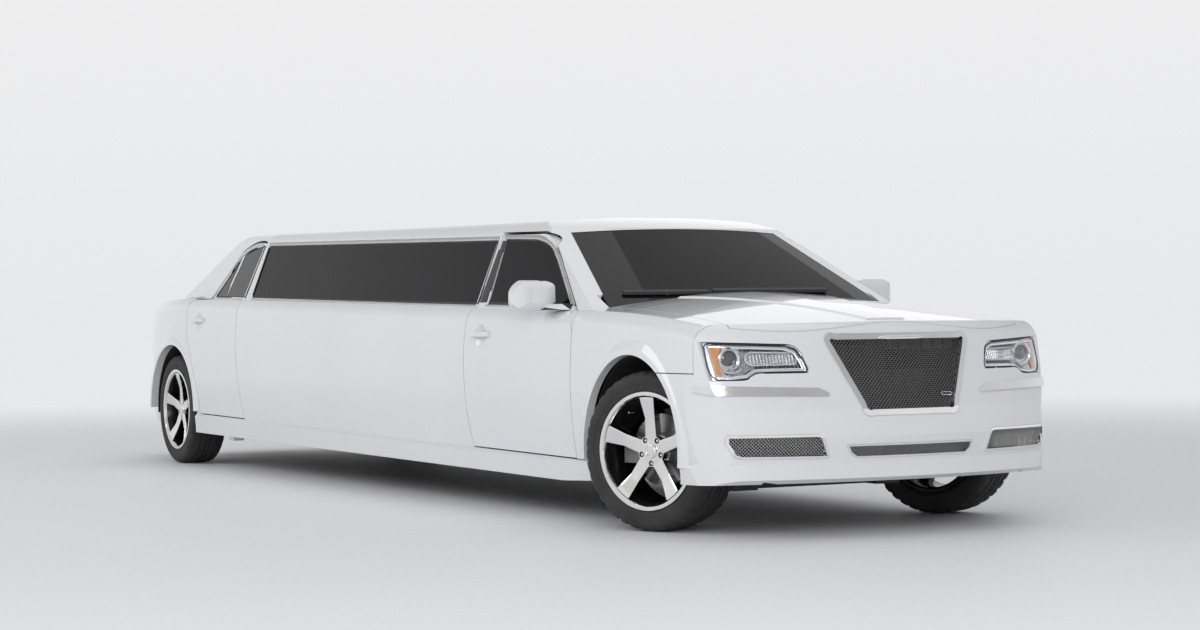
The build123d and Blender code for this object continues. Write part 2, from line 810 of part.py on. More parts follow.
def arm_pair(axle_x, y_from, y_to, z_range):
    """Wide-based arm from the frame out to its ball joint."""
    low, high = z_range
    points = [(axle_x - 90, y_from), (axle_x - 45, y_from), (axle_x, y_to - 60), (axle_x + 45, y_from),
              (axle_x + 90, y_from), (axle_x + 26, y_to), (axle_x - 26, y_to)]
    return plan_prism(points, low, high) + Pos(axle_x, y_to, (low + high) / 2) * Cylinder(30, high - low)


def frame_side():
    """Left half of the front frame."""
    rail = block(2560, 4010, rail_inner, rail_outer, 400, 510)
    tower = block(front_axle_x - 95, front_axle_x + 95, rail_inner, front_well_inner_y - 6, 165, 640)
    half_beam = block(front_axle_x - 60, front_axle_x + 60, 0, rail_inner + 5, 170, 240)
    low_arm = arm_pair(front_axle_x, front_well_inner_y - 10, kingpin_y, arm_low_z)
    high_arm = arm_pair(front_axle_x, front_well_inner_y - 10, kingpin_y, arm_high_z)
    bumper_beam = block(3960, 4010, 0, 560, 430, 520)
    radiator = block(3905, 3950, 0, rail_inner + 2, 300, 720)
    return rail + tower + half_beam + low_arm + high_arm + bumper_beam + radiator


left_frame = frame_side()
front_frame = main_solid(left_frame + flipped(left_frame) - floor_pan)

hub_inner_y = 760


def spindle(axle_x):
    """Axle stub that the wheel turns on."""
    return y_cylinder(axle_x, tyre_radius, spindle_radius - running_clearance, hub_inner_y - 10, 835)


disc_radius = 165
disc_inner_y = 772
disc_outer_y = 798


def caliper(axle_x):
    """Brake caliper astride the disc, with its bracket."""
    body = block(axle_x - 205, axle_x - 118, 752, 818, tyre_radius - 62, tyre_radius + 62)
    slot = y_cylinder(axle_x, tyre_radius, disc_radius + 4, disc_inner_y - 4, disc_outer_y + 4)
    outer_edge = y_cylinder(axle_x, tyre_radius, rim_inner_radius - 9, 700, 900)
    bracket = block(axle_x - 190, axle_x - 20, 738, 762, tyre_radius - 30, tyre_radius + 30)
    return (body & outer_edge) - slot + bracket


def knuckle_solid(axle_x, low, high):
    """Upright between the two ball joints, with spindle and caliper."""
    post = block(axle_x - 32, axle_x + 32, kingpin_y - 22, hub_inner_y, low, high)
    return main_solid(post + spindle(axle_x) + caliper(axle_x))


front_knuckle = knuckle_solid(front_axle_x, arm_low_z[1] + knuckle_gap, arm_high_z[0] - knuckle_gap)


def rear_side():
    """Left half of the rear suspension."""
    carrier = block(rear_axle_x - 32, rear_axle_x + 32, kingpin_y - 22, hub_inner_y, arm_low_z[1] - 5, arm_high_z[0] + 5)
    low_arm = arm_pair(rear_axle_x, 400, kingpin_y, arm_low_z)
    high_arm = arm_pair(rear_axle_x, 400, kingpin_y, arm_high_z)
    plate = block(rear_axle_x - 200, rear_axle_x + 200, 380, 410, 170, 470)
    beams = (block(rear_axle_x + 150, rear_axle_x + 200, 0, 410, 420, 470)
             + block(rear_axle_x - 200, rear_axle_x - 150, 0, 410, 420, 470))
    mount = block(rear_axle_x - 200, rear_axle_x + 200, 385, 405, 465, 498)
    shaft = y_cylinder(rear_axle_x, tyre_radius, 20, 90, kingpin_y)
    drive = block(rear_axle_x - 130, rear_axle_x + 120, 0, 110, 290, 440)
    post = block(rear_axle_x + 120, rear_axle_x + 165, 0, 60, 330, 430)
    high_tie = block(rear_axle_x - 90, rear_axle_x + 90, 385, 410, 465, arm_high_z[1])
    return (carrier + low_arm + high_arm + plate + beams + mount + shaft + drive + post + high_tie
            + spindle(rear_axle_x) + caliper(rear_axle_x))


left_rear = rear_side()
rear_suspension = main_solid(left_rear + flipped(left_rear) - floor_pan)

# Engine, gearbox and propeller shaft in one line
engine_block = block(2980, 3600, -250, 250, 300, 820)
sump = block(2980, 3215, -160, 160, 240, 305)
engine_mounts = block(3180, 3260, -rail_inner, rail_inner, 440, 500)
gearbox = block(2330, 2985, -120, 120, 300, 450)
shaft_run = Pos((2335 + rear_axle_x + 120) / 2, 0, 380) * Rot(0, 90, 0) * Cylinder(38, 2335 - rear_axle_x - 120)
powertrain = engine_block + sump + engine_mounts + gearbox + shaft_run
powertrain = main_solid(powertrain - floor_pan - rear_suspension - front_frame)

# Exhaust: two pipes, two mufflers, two tips
pipe_radius = 22


def exhaust_side():
    """Left half of the exhaust."""
    pipe = Pos((2500 - 3500) / 2, 290, 256) * Rot(0, 90, 0) * Cylinder(pipe_radius, 6000)
    muffler = block(-3880, -3480, 200, 620, 250, 400)
    tip = Pos(-4010, tip_y, tip_z) * Rot(0, 90, 0) * (Cylinder(tip_radius, 260) - Cylinder(tip_radius - 4, 400))
    neck = Pos(-3900, tip_y, tip_z) * Rot(0, 90, 0) * Cylinder(tip_radius - 2, 60)
    hanger = block(-3700, -3660, 390, 410, 395, 498)
    return pipe + muffler + tip + neck + hanger


left_exhaust = exhaust_side()
exhaust = left_exhaust + flipped(left_exhaust)
exhaust = Compound(children=[main_solid(left_exhaust - rear_suspension), main_solid(flipped(left_exhaust) - rear_suspension)])

# Seats, dashboard and steering wheel
def seat(x_front, x_back, y_from, y_to, floor_z):
    """Seat with base, cushion, leaning back and head rest, in one solid."""
    outline = [
        (x_front, floor_z), (x_front, floor_z + 190), ((x_front - 20, floor_z + 225), (x_front - 60, floor_z + 230)),
        (x_back + 130, floor_z + 200), (x_back + 20, floor_z + 690), ((x_back - 20, floor_z + 720), (x_back - 60, floor_z + 690)),
        (x_back, floor_z + 120), (x_back, floor_z),
    ]
    return side_prism(outline, y_from, y_to)


floor_top = 331
front_seat = seat(1960, 1390, 190, 700, 316)
rear_bench = seat(-1880, -2390, -600, 600, floor_top) - block(-2600, 0, -tunnel_half, tunnel_half, 280, 480)
side_bench = block(-1650, 900, -750, -330, 330, 560) + block(-1650, 900, -750, -640, 560, 960)
seats = Compound(children=[front_seat, flipped(front_seat), rear_bench, main_solid(side_bench - floor_pan)])
dash_points = [(2660, 975), (2645, 760), (2430, 700), (2330, 760), ((2310, 850), (2350, 930)), (2480, 985)]
dash = side_prism(dash_points, -757, 757)
wheel_centre = (2160, 370, 850)
column = Pos(2255, 370, 812) * Rot(0, 112, 0) * Cylinder(24, 240)
ring_section = Face(Wire([Edge.make_line(*ends) for ends in (
    ((168, 0, -9), (196, 0, -9)), ((196, 0, -9), (196, 0, 9)), ((196, 0, 9), (168, 0, 9)), ((168, 0, 9), (168, 0, -9)))]))
steering_ring = Pos(*wheel_centre) * Rot(0, 112, 0) * Solid.revolve(ring_section, 360, Axis.Z)
ring_spoke = Pos(*wheel_centre) * Rot(0, 112, 0) * (Cylinder(60, 24) + Box(24, 360, 16))
dashboard = main_solid(dash + column + steering_ring + ring_spoke - floor_pan)

# Door handles: a pull across a round recess
handle_places = {"front": (1736, 888), "rear": (-2530, 966)}
handle_length = 210
handle_height = 26
handle_reach = 34
recess_radius = 62
recess_depth = 14


def with_handle(door, place):
    """Left door with a recess in its skin and a pull standing over it."""
    x, z = place
    skin_y = main_solid(door & block(x - 5, x + 5, 900, 1000, z - 5, z + 5)).bounding_box().max.Y
    ball_radius = (recess_radius ** 2 + recess_depth ** 2) / (2 * recess_depth)
    recess = Pos(x, skin_y + ball_radius - recess_depth, z) * Sphere(ball_radius)
    outline = [
        (x - handle_length / 2, skin_y - 10), (x - handle_length / 2, skin_y + 14),
        ((x, skin_y + handle_reach), (x + handle_length / 2, skin_y + 14)), (x + handle_length / 2, skin_y - 10),
        (x + handle_length / 2 - 24, skin_y - 10),
        ((x, skin_y + handle_reach - 13), (x - handle_length / 2 + 24, skin_y - 10)),
    ]
    pull = plan_prism(outline, z - handle_height / 2, z + handle_height / 2)
    return main_solid((door - recess) + pull)


front_door = with_handle(front_door, handle_places["front"])
rear_door = with_handle(rear_door, handle_places["rear"])

# Mirrors on the front doors
mirror_plan = [(2384, 884), (2380, 1086), ((2386, 1100), (2400, 1104)), ((2456, 1082), (2474, 1015)),
               ((2478, 945), (2462, 884))]
mirror_front = [(884, 1046), (884, 1112), ((904, 1138), (950, 1144)), ((1062, 1138), (1099, 1090)), (1104, 1056),
                ((1090, 1024), (1050, 1016)), (930, 1018)]
mirror_side = [(2370, 1000), (2370, 1150), (2420, 1150), ((2468, 1124), (2482, 1078)), ((2474, 1036), (2440, 1000))]
mirror_glass_depth = 5
mirror_shell = (plan_prism(mirror_plan, 1000, 1160) & front_prism(mirror_front, 2350, 2500)
                & side_prism(mirror_side, 800, 1200))
mirror_shell = main_solid(mirror_shell - front_prism(mirror_front, 2350, 2382 + mirror_glass_depth, -9))
stalk = plan_prism([(2400, 930), (2430, 955), (2560, 900), (2620, 850), (2540, 850)], 1006, 1034)
mirror_left = main_solid(mirror_shell + stalk - front_door - body_side - main_solid(front_panes[0]))

# Jacking pads under the sills
jack_pad_x = (2350, -2150)
jack_pad_z = 186
jack_pad_top = 285
for pad_x in jack_pad_x:
    body_side = body_side + block(pad_x - 45, pad_x + 45, 790, 860, jack_pad_z, jack_pad_top)
body_side = main_solid(body_side)


# Wheels: rim, five dished spokes, hub and disc in one solid
def wheel_revolve(profile, axle_x):
    """Turned form from (radius, y) corners."""
    edges = []
    for index, (r, y) in enumerate(profile):
        r_next, y_next = profile[(index + 1) % len(profile)]
        edges.append(Edge.make_line(Vector(axle_x + r, y, tyre_radius), Vector(axle_x + r_next, y_next, tyre_radius)))
    return Solid.revolve(Face(Wire(edges)), 360, Axis((axle_x, 0, tyre_radius), (0, 1, 0)))


seat_radius = 256


def wheel_solid(axle_x):
    """Left wheel, straight ahead."""
    barrel = wheel_revolve([
        (rim_inner_radius, 692), (264, 690), (264, 698), (seat_radius, 704), (seat_radius, 905),
        (rim_lip_radius, 911), (rim_lip_radius, 922), (252, 922), (rim_inner_radius, 892),
    ], axle_x)
    dish = wheel_revolve([(0.001, 881), (64, 884), (150, 890), (244, 915), (244, 868), (150, 852), (64, 842), (0.001, 842)], axle_x)
    spoke_points = [(-31, 40), (-27, 150), (-40, 246), (40, 246), (27, 150), (31, 40)]
    one_spoke = side_prism([(axle_x + u, tyre_radius + z) for u, z in spoke_points], 820, 940)
    axle_line = Axis((axle_x, 0, tyre_radius), (0, 1, 0))
    spokes = [one_spoke.rotate(axle_line, 360 / spoke_count * k) for k in range(spoke_count)]
    hub = y_cylinder(axle_x, tyre_radius, 72, 800, 884)
    disc = y_cylinder(axle_x, tyre_radius, disc_radius, disc_inner_y, disc_outer_y)
    hat = y_cylinder(axle_x, tyre_radius, 80, disc_inner_y, 845)
    wheel = barrel + (spokes[0].fuse(*spokes[1:]) & dish) + hub + disc + hat
    wheel = wheel - y_cylinder(axle_x, tyre_radius, spindle_radius, 700, 840)
    for k in range(spoke_count):
        turn = radians(360 / spoke_count * (k + 0.5))
        wheel = wheel - y_cylinder(axle_x + 57 * sin(turn), tyre_radius + 57 * cos(turn), 13, 866, 900)
    return main_solid(wheel)


def tyre_solid(axle_x):
    """Left tyre."""
    return wheel_revolve([
        (seat_radius, 706), (322, 684), (tyre_radius, 706), (tyre_radius, 904), (322, 926), (seat_radius, 903.5),
    ], axle_x)


def steered(shape):
    """Left front piece turned to the left about its kingpin, as it stands in the picture."""
    return shape.rotate(Axis((front_axle_x, kingpin_y, 0), (0, 0, 1)), rest_steer)


def steered_right(shape):
    """Right front piece turned the same way."""
    return flipped(shape).rotate(Axis((front_axle_x, -kingpin_y, 0), (0, 0, 1)), rest_steer)


front_wheel = wheel_solid(front_axle_x)
rear_wheel = wheel_solid(rear_axle_x)
front_tyre = tyre_solid(front_axle_x)
rear_tyre = tyre_solid(rear_axle_x)

# Wipers at rest on the windshield's foot
wiper_lift = 6
wiper_height = 34
wiper_rows = [
    # y at the near end, y at the far end, radius of the blade about the windshield's axis
    (-205, 475, 2398),
    (-660, -235, 2408),
]
blade_width = 20


def wiper(y_from, y_to, radius):
    """Blade along the foot of the glass with the boss that carries it."""
    band = shield_solid(-wiper_height) - shield_solid(-wiper_lift)
    ring = Cylinder(radius + blade_width / 2, 400) - Cylinder(radius - blade_width / 2, 500)
    blade = band & (Pos(shield_axis_x, 0, 1050) * ring) & block(2500, 3000, y_from, y_to, 1000, 1200)
    middle = (y_from + y_to) / 2
    boss = Pos(shield_axis_x + (radius ** 2 - middle ** 2) ** 0.5, middle, 1080) * Cylinder(13, 60)
    boss = boss - shield_solid(-glass_inset + 2) - outer_front
    return main_solid(blade - outer_front + (boss & shield_solid(-wiper_height)))


parts = {}
for name, shape in {
    "hood": hood, "front_fascia": front_fascia, "roof": roof, "windshield": windshield,
    "rear_window": rear_window, "trunk_lid": trunk_lid, "rear_fascia": rear_fascia,
    "parcel_shelf": parcel_shelf, "cowl": cowl, "floor_pan": floor_pan,
}.items():
    parts[name] = shape
for name, shape in {"body_side": body_side, "fender": fender}.items():
    parts[name + "_left"] = shape
    parts[name + "_right"] = flipped(shape)
parts["front_door_left"] = front_door
parts["front_door_right"] = flipped(front_door)
parts["rear_door_left"] = rear_door
parts["rear_door_right"] = flipped(rear_door)
parts["headlights"] = both_sides(lamp_case)
parts["headlight_lenses"] = both_sides(lens)
parts["wipers"] = Compound(children=[wiper(*row) for row in wiper_rows])
parts["taillights"] = both_sides(tail_lamp)
parts["side_windows"] = both_sides(long_glass)
for place, panes in {"front_door_glass": front_panes, "rear_door_glass": rear_panes}.items():
    parts[place + "_left"] = Compound(children=panes)
    parts[place + "_right"] = Compound(children=[flipped(pane) for pane in panes])
parts["main_grille"] = Compound(children=[main_frame, main_mesh])
parts["lower_grilles"] = Compound(children=[fog_frame, fog_mesh, flipped(fog_frame), flipped(fog_mesh),
                                            centre_frame, centre_mesh])
parts["bumper_strips"] = both_sides(bumper_strip)
parts["wheel_liners"] = Compound(children=[front_liner, flipped(front_liner), rear_liner, flipped(rear_liner)])
parts["front_frame"] = front_frame
parts["rear_suspension"] = rear_suspension
parts["powertrain"] = powertrain
parts["exhaust"] = exhaust
parts["seats"] = seats
parts["dashboard"] = dashboard
parts["mirror_left"] = mirror_left
parts["mirror_right"] = flipped(mirror_left)
parts["knuckle_left"] = steered(front_knuckle)
parts["knuckle_right"] = steered_right(front_knuckle)
parts["wheel_front_left"] = steered(front_wheel)
parts["wheel_front_right"] = steered_right(front_wheel)
parts["wheel_rear_left"] = rear_wheel
parts["wheel_rear_right"] = flipped(rear_wheel)
parts["tyre_front_left"] = steered(front_tyre)
parts["tyre_front_right"] = steered_right(front_tyre)
parts["tyre_rear_left"] = rear_tyre
parts["tyre_rear_right"] = flipped(rear_tyre)
os.makedirs("parts", exist_ok=True)
for name, shape in parts.items():
    export_step(shape, "parts/" + name + ".step")
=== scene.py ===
import json
import math

import bmesh
import bpy
from mathutils import Matrix, Vector
from mathutils.bvhtree import BVHTree


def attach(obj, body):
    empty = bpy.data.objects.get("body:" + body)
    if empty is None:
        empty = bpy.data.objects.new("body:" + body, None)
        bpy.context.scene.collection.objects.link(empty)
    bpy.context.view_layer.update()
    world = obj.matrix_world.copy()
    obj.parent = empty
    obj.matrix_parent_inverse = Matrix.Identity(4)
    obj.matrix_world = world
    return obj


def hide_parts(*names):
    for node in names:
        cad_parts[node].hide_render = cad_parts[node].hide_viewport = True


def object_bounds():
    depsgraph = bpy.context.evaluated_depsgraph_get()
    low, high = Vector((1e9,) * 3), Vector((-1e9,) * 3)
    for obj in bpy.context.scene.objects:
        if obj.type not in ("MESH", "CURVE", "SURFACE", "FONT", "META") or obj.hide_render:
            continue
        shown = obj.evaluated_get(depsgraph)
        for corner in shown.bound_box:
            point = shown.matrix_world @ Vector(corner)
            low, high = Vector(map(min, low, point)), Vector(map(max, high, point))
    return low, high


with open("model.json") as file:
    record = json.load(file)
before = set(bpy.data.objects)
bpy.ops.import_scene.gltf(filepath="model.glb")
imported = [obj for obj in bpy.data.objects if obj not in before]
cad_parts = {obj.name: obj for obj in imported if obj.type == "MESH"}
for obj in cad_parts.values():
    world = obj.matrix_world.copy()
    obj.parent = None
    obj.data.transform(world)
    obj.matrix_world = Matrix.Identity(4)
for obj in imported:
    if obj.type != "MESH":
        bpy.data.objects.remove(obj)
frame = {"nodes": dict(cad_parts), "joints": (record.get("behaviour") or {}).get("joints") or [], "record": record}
cad_low, cad_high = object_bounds()
record = frame["record"]
nodes = frame["nodes"]
joints = {joint["name"]: joint for joint in frame["joints"]}
body_of_node = {}
for body_name, members in record["behaviour"]["bodies"].items():
    for member in members:
        body_of_node[member] = body_name
scene = bpy.context.scene

SIDES = (("left", 1), ("right", -1))
TAU = 2 * math.pi
DIAGONAL = 0.7071
ROOT_TWO = 1.4142


# Camera at the photograph's view
CAMERA_PLACE = Vector((13.177, -6.4431, 1.0050))
CAMERA_TURN = math.radians(28.437)
CAMERA_DIP = math.radians(0.124)
CAMERA_ROLL = math.radians(-0.644)
CAMERA_LENS = 74.94


def make_camera():
    forward = Vector((-math.cos(CAMERA_TURN) * math.cos(CAMERA_DIP),
                      math.sin(CAMERA_TURN) * math.cos(CAMERA_DIP),
                      -math.sin(CAMERA_DIP)))
    flat_right = forward.cross(Vector((0, 0, 1))).normalized()
    flat_up = flat_right.cross(forward)
    right = math.cos(CAMERA_ROLL) * flat_right + math.sin(CAMERA_ROLL) * flat_up
    up = -math.sin(CAMERA_ROLL) * flat_right + math.cos(CAMERA_ROLL) * flat_up
    data = bpy.data.cameras.new("camera")
    data.lens = CAMERA_LENS
    data.sensor_width = 36
    data.clip_end = 200
    camera = bpy.data.objects.new("camera", data)
    turn = Matrix((right, up, -forward)).transposed().to_4x4()
    camera.matrix_world = Matrix.Translation(CAMERA_PLACE) @ turn
    scene.collection.objects.link(camera)
    scene.camera = camera


# Studio
BACKDROP = (0.80, 0.81, 0.82, 1)
FLOOR_FADE = (4.5, 15.0)


# Materials
class Nodes:
    """Short ways to add nodes to one material."""

    def __init__(self, name):
        self.material = bpy.data.materials.new(name)
        self.material.use_nodes = True
        self.tree = self.material.node_tree
        self.shader = self.tree.nodes["Principled BSDF"]
        self.place = self.add("ShaderNodeTexCoord").outputs["Object"]

    def add(self, kind, **values):
        node = self.tree.nodes.new(kind)
        for key, value in values.items():
            setattr(node, key, value)
        return node

    def link(self, start, end):
        self.tree.links.new(start, end)

    def set(self, **values):
        for key, value in values.items():
            self.shader.inputs[key.replace("_", " ")].default_value = value

    def noise(self, scale, detail=4, stretch=(1, 1, 1)):
        mapping = self.add("ShaderNodeMapping")
        mapping.inputs["Scale"].default_value = stretch
        self.link(self.place, mapping.inputs["Vector"])
        noise = self.add("ShaderNodeTexNoise")
        noise.inputs["Scale"].default_value = scale
        noise.inputs["Detail"].default_value = detail
        self.link(mapping.outputs["Vector"], noise.inputs["Vector"])
        return noise.outputs["Fac"]

    def voronoi(self, scale, feature="F1", stretch=(1, 1, 1)):
        mapping = self.add("ShaderNodeMapping")
        mapping.inputs["Scale"].default_value = stretch
        self.link(self.place, mapping.inputs["Vector"])
        cells = self.add("ShaderNodeTexVoronoi", feature=feature)
        cells.inputs["Scale"].default_value = scale
        self.link(mapping.outputs["Vector"], cells.inputs["Vector"])
        return cells.outputs["Distance"]

    def ramp(self, factor, low, high, start=0.3, end=0.7):
        ramp = self.add("ShaderNodeValToRGB")
        ramp.color_ramp.elements[0].position = start
        ramp.color_ramp.elements[1].position = end
        ramp.color_ramp.elements[0].color = (*low, 1)
        ramp.color_ramp.elements[1].color = (*high, 1)
        self.link(factor, ramp.inputs["Fac"])
        return ramp.outputs["Color"]

    def colour(self, factor, low, high, start=0.3, end=0.7):
        self.link(self.ramp(factor, low, high, start, end), self.shader.inputs["Base Color"])

    def roughness(self, factor, low, high):
        spread = self.add("ShaderNodeMapRange")
        spread.inputs["From Min"].default_value = 0.3
        spread.inputs["From Max"].default_value = 0.7
        spread.inputs["To Min"].default_value = low
        spread.inputs["To Max"].default_value = high
        self.link(factor, spread.inputs["Value"])
        self.link(spread.outputs["Result"], self.shader.inputs["Roughness"])

    def bump(self, factor, strength, distance):
        bump = self.add("ShaderNodeBump")
        bump.inputs["Strength"].default_value = strength
        bump.inputs["Distance"].default_value = distance
        self.link(factor, bump.inputs["Height"])
        self.link(bump.outputs["Normal"], self.shader.inputs["Normal"])
        return bump


def plain_surface(name, low, high, rough, metal=0.0, grain=400, bump=0.05, depth=0.0004, spread=3):
    """Surface whose colour and roughness vary softly, with a fine grain."""
    made = Nodes(name)
    wide = made.noise(spread)
    fine = made.noise(grain, 2)
    made.colour(wide, low, high)
    made.roughness(fine, rough[0], rough[1])
    made.bump(fine, bump, depth)
    made.set(Metallic=metal)
    return made.material


def soften_edges(made, radius):
    """Rounds a material's edges in shading alone."""
    edge = made.add("ShaderNodeBevel", samples=4)
    edge.inputs["Radius"].default_value = radius
    return edge.outputs["Normal"]


def make_paint():
    made = Nodes("white_paint")
    wide = made.noise(1.2)
    fine = made.noise(900, 2)
    made.colour(wide, (0.775, 0.785, 0.80), (0.81, 0.82, 0.835))
    made.roughness(fine, 0.24, 0.30)
    bump = made.bump(fine, 0.015, 0.0002)
    made.link(soften_edges(made, 0.0025), bump.inputs["Normal"])
    made.set(Coat_Weight=1.0, Coat_Roughness=0.03, Coat_IOR=1.5)
    return made.material


def make_black_glass():
    made = Nodes("black_glass")
    film = made.noise(2.0, 2)
    made.colour(film, (0.004, 0.004, 0.005), (0.008, 0.008, 0.010))
    made.roughness(film, 0.015, 0.03)
    made.set(IOR=1.45, Specular_IOR_Level=0.12)
    return made.material


def make_clear_glass(name, tint, rough=0.02):
    made = Nodes(name)
    film = made.noise(6.0, 2)
    made.roughness(film, rough, rough * 1.6)
    made.set(Base_Color=(*tint, 1), Transmission_Weight=1.0, IOR=1.45)
    return made.material


def make_chrome(name, low, high, rough, grain=60):
    made = Nodes(name)
    film = made.noise(5.0, 3)
    fine = made.noise(grain, 3)
    made.colour(film, low, high)
    made.roughness(fine, rough[0], rough[1])
    made.set(Metallic=1.0)
    return made.material


def make_brushed(name, low, high, rough, stretch):
    made = Nodes(name)
    lines = made.noise(160, 3, stretch)
    made.colour(lines, low, high)
    made.roughness(lines, rough[0], rough[1])
    made.bump(lines, 0.08, 0.0003)
    made.set(Metallic=1.0)
    return made.material


def make_leather(name, low, high):
    made = Nodes(name)
    cells = made.voronoi(420)
    wide = made.noise(7)
    made.colour(wide, low, high)
    made.roughness(wide, 0.38, 0.52)
    made.bump(cells, 0.25, 0.0006)
    made.set(Coat_Weight=0.15, Coat_Roughness=0.35)
    return made.material


def make_lamp_red():
    made = Nodes("red_lens")
    ribs = made.noise(140, 1, (0.05, 1, 1))
    made.colour(ribs, (0.42, 0.006, 0.008), (0.60, 0.015, 0.015))
    made.bump(ribs, 0.25, 0.001)
    made.set(Roughness=0.06, Coat_Weight=1.0, Coat_Roughness=0.02)
    return made.material


def make_amber():
    made = Nodes("amber_lens")
    ribs = made.voronoi(150)
    made.colour(ribs, (0.95, 0.20, 0.02), (1.0, 0.38, 0.05), 0.1, 0.6)
    made.bump(ribs, 0.6, 0.002)
    made.set(Roughness=0.12, Coat_Weight=1.0, Coat_Roughness=0.03)
    return made.material


def make_projector_glass():
    made = Nodes("projector_glass")
    film = made.noise(30, 2)
    made.colour(film, (0.035, 0.030, 0.050), (0.075, 0.065, 0.095))
    made.set(Roughness=0.03, Coat_Weight=1.0, Coat_Roughness=0.01, Specular_IOR_Level=0.9)
    return made.material


def make_floor():
    """Pale floor that fades into the backdrop far from the car."""
    made = Nodes("floor")
    grain = made.noise(30, 3)
    made.colour(grain, (0.88, 0.88, 0.89), (0.91, 0.91, 0.92))
    made.set(Roughness=0.55)
    distance = made.add("ShaderNodeVectorMath", operation="LENGTH")
    made.link(made.place, distance.inputs[0])
    fade = made.add("ShaderNodeMapRange", interpolation_type="SMOOTHSTEP")
    fade.inputs["From Min"].default_value = FLOOR_FADE[0]
    fade.inputs["From Max"].default_value = FLOOR_FADE[1]
    made.link(distance.outputs["Value"], fade.inputs["Value"])
    far = made.add("ShaderNodeEmission")
    far.inputs["Color"].default_value = BACKDROP
    mix = made.add("ShaderNodeMixShader")
    made.link(fade.outputs["Result"], mix.inputs["Fac"])
    made.link(made.shader.outputs["BSDF"], mix.inputs[1])
    made.link(far.outputs["Emission"], mix.inputs[2])
    made.link(mix.outputs["Shader"], made.tree.nodes["Material Output"].inputs["Surface"])
    return made.material


paint = make_paint()
black_glass = make_black_glass()
clear_glass = make_clear_glass("clear_lens", (0.98, 0.99, 1.0))
chrome = make_chrome("chrome", (0.80, 0.80, 0.81), (0.88, 0.88, 0.89), (0.05, 0.10))
wheel_chrome = make_chrome("wheel_chrome", (0.74, 0.735, 0.72), (0.82, 0.815, 0.80), (0.10, 0.16))
wheel_side = make_chrome("wheel_spoke_side", (0.16, 0.16, 0.165), (0.24, 0.24, 0.245), (0.18, 0.28))
reflector = make_chrome("lamp_reflector", (0.78, 0.80, 0.83), (0.90, 0.91, 0.93), (0.06, 0.12), 200)
stainless = make_brushed("stainless_trim", (0.50, 0.50, 0.49), (0.62, 0.62, 0.60), (0.20, 0.32), (0.02, 1, 1))
barrel_black = plain_surface("barrel_black", (0.012, 0.012, 0.013), (0.03, 0.03, 0.031), (0.16, 0.26), 0.6,
                             grain=260, bump=0.1, depth=0.0005, spread=30)
weave_bright = make_brushed("bright_weave_wire", (0.50, 0.50, 0.49), (0.66, 0.66, 0.65), (0.22, 0.34),
                            (1, 1, 1))
weave_steel = make_brushed("weave_wire", (0.24, 0.235, 0.23), (0.36, 0.355, 0.345), (0.28, 0.40), (1, 1, 1))
disc_steel = make_brushed("brake_disc", (0.30, 0.30, 0.30), (0.46, 0.46, 0.45), (0.30, 0.45), (1, 0.02, 1))
exhaust_steel = make_brushed("exhaust_steel", (0.33, 0.32, 0.30), (0.48, 0.47, 0.45), (0.30, 0.48),
                             (0.05, 1, 1))
rubber = plain_surface("tyre_rubber", (0.018, 0.018, 0.018), (0.034, 0.034, 0.033), (0.62, 0.78), grain=700,
                       bump=0.12, depth=0.0006, spread=9)
seal = plain_surface("seal_rubber", (0.010, 0.010, 0.011), (0.020, 0.020, 0.021), (0.45, 0.6))
matt_black = plain_surface("matt_black_plastic", (0.012, 0.012, 0.013), (0.024, 0.024, 0.025), (0.42, 0.58),
                           grain=1200, bump=0.15)
gloss_black = plain_surface("gloss_black_plastic", (0.008, 0.008, 0.009), (0.014, 0.014, 0.015), (0.10, 0.16),
                            grain=300, bump=0.01)
liner_black = plain_surface("liner_felt", (0.008, 0.008, 0.008), (0.018, 0.018, 0.018), (0.80, 0.95), grain=500,
                            bump=0.4, depth=0.0015)
frame_black = plain_surface("frame_paint", (0.018, 0.018, 0.019), (0.040, 0.039, 0.038), (0.35, 0.55),
                            grain=160, bump=0.2, depth=0.0008, spread=6)
underbody = plain_surface("underbody_coat", (0.014, 0.014, 0.015), (0.032, 0.031, 0.030), (0.70, 0.88),
                          grain=220, bump=0.5, depth=0.002, spread=4)
cast_metal = plain_surface("cast_aluminium", (0.30, 0.30, 0.30), (0.42, 0.42, 0.41), (0.40, 0.58), 0.9,
                           grain=350, bump=0.25, depth=0.0012, spread=8)
caliper_paint = plain_surface("caliper_paint", (0.22, 0.22, 0.22), (0.32, 0.31, 0.30), (0.35, 0.5), 0.5,
                              grain=260, bump=0.2, depth=0.0008, spread=20)
leather = make_leather("black_leather", (0.018, 0.018, 0.019), (0.034, 0.033, 0.033))
dash_skin = make_leather("dash_skin", (0.020, 0.020, 0.021), (0.032, 0.032, 0.033))
red_lens = make_lamp_red()
amber_lens = make_amber()
grille_bar = plain_surface("grille_bar", (0.020, 0.020, 0.021), (0.045, 0.044, 0.043), (0.4, 0.55), 0.4)
lamp_satin = plain_surface("lamp_satin", (0.34, 0.35, 0.37), (0.46, 0.47, 0.49), (0.22, 0.32), 0.75, grain=300,
                           bump=0.04, spread=20)
light_guide = plain_surface("light_guide", (0.80, 0.82, 0.85), (0.90, 0.91, 0.93), (0.10, 0.18), grain=500,
                            bump=0.03)
mirror_glass = make_chrome("mirror_silver", (0.82, 0.83, 0.85), (0.88, 0.89, 0.90), (0.01, 0.03))
projector_glass = make_projector_glass()

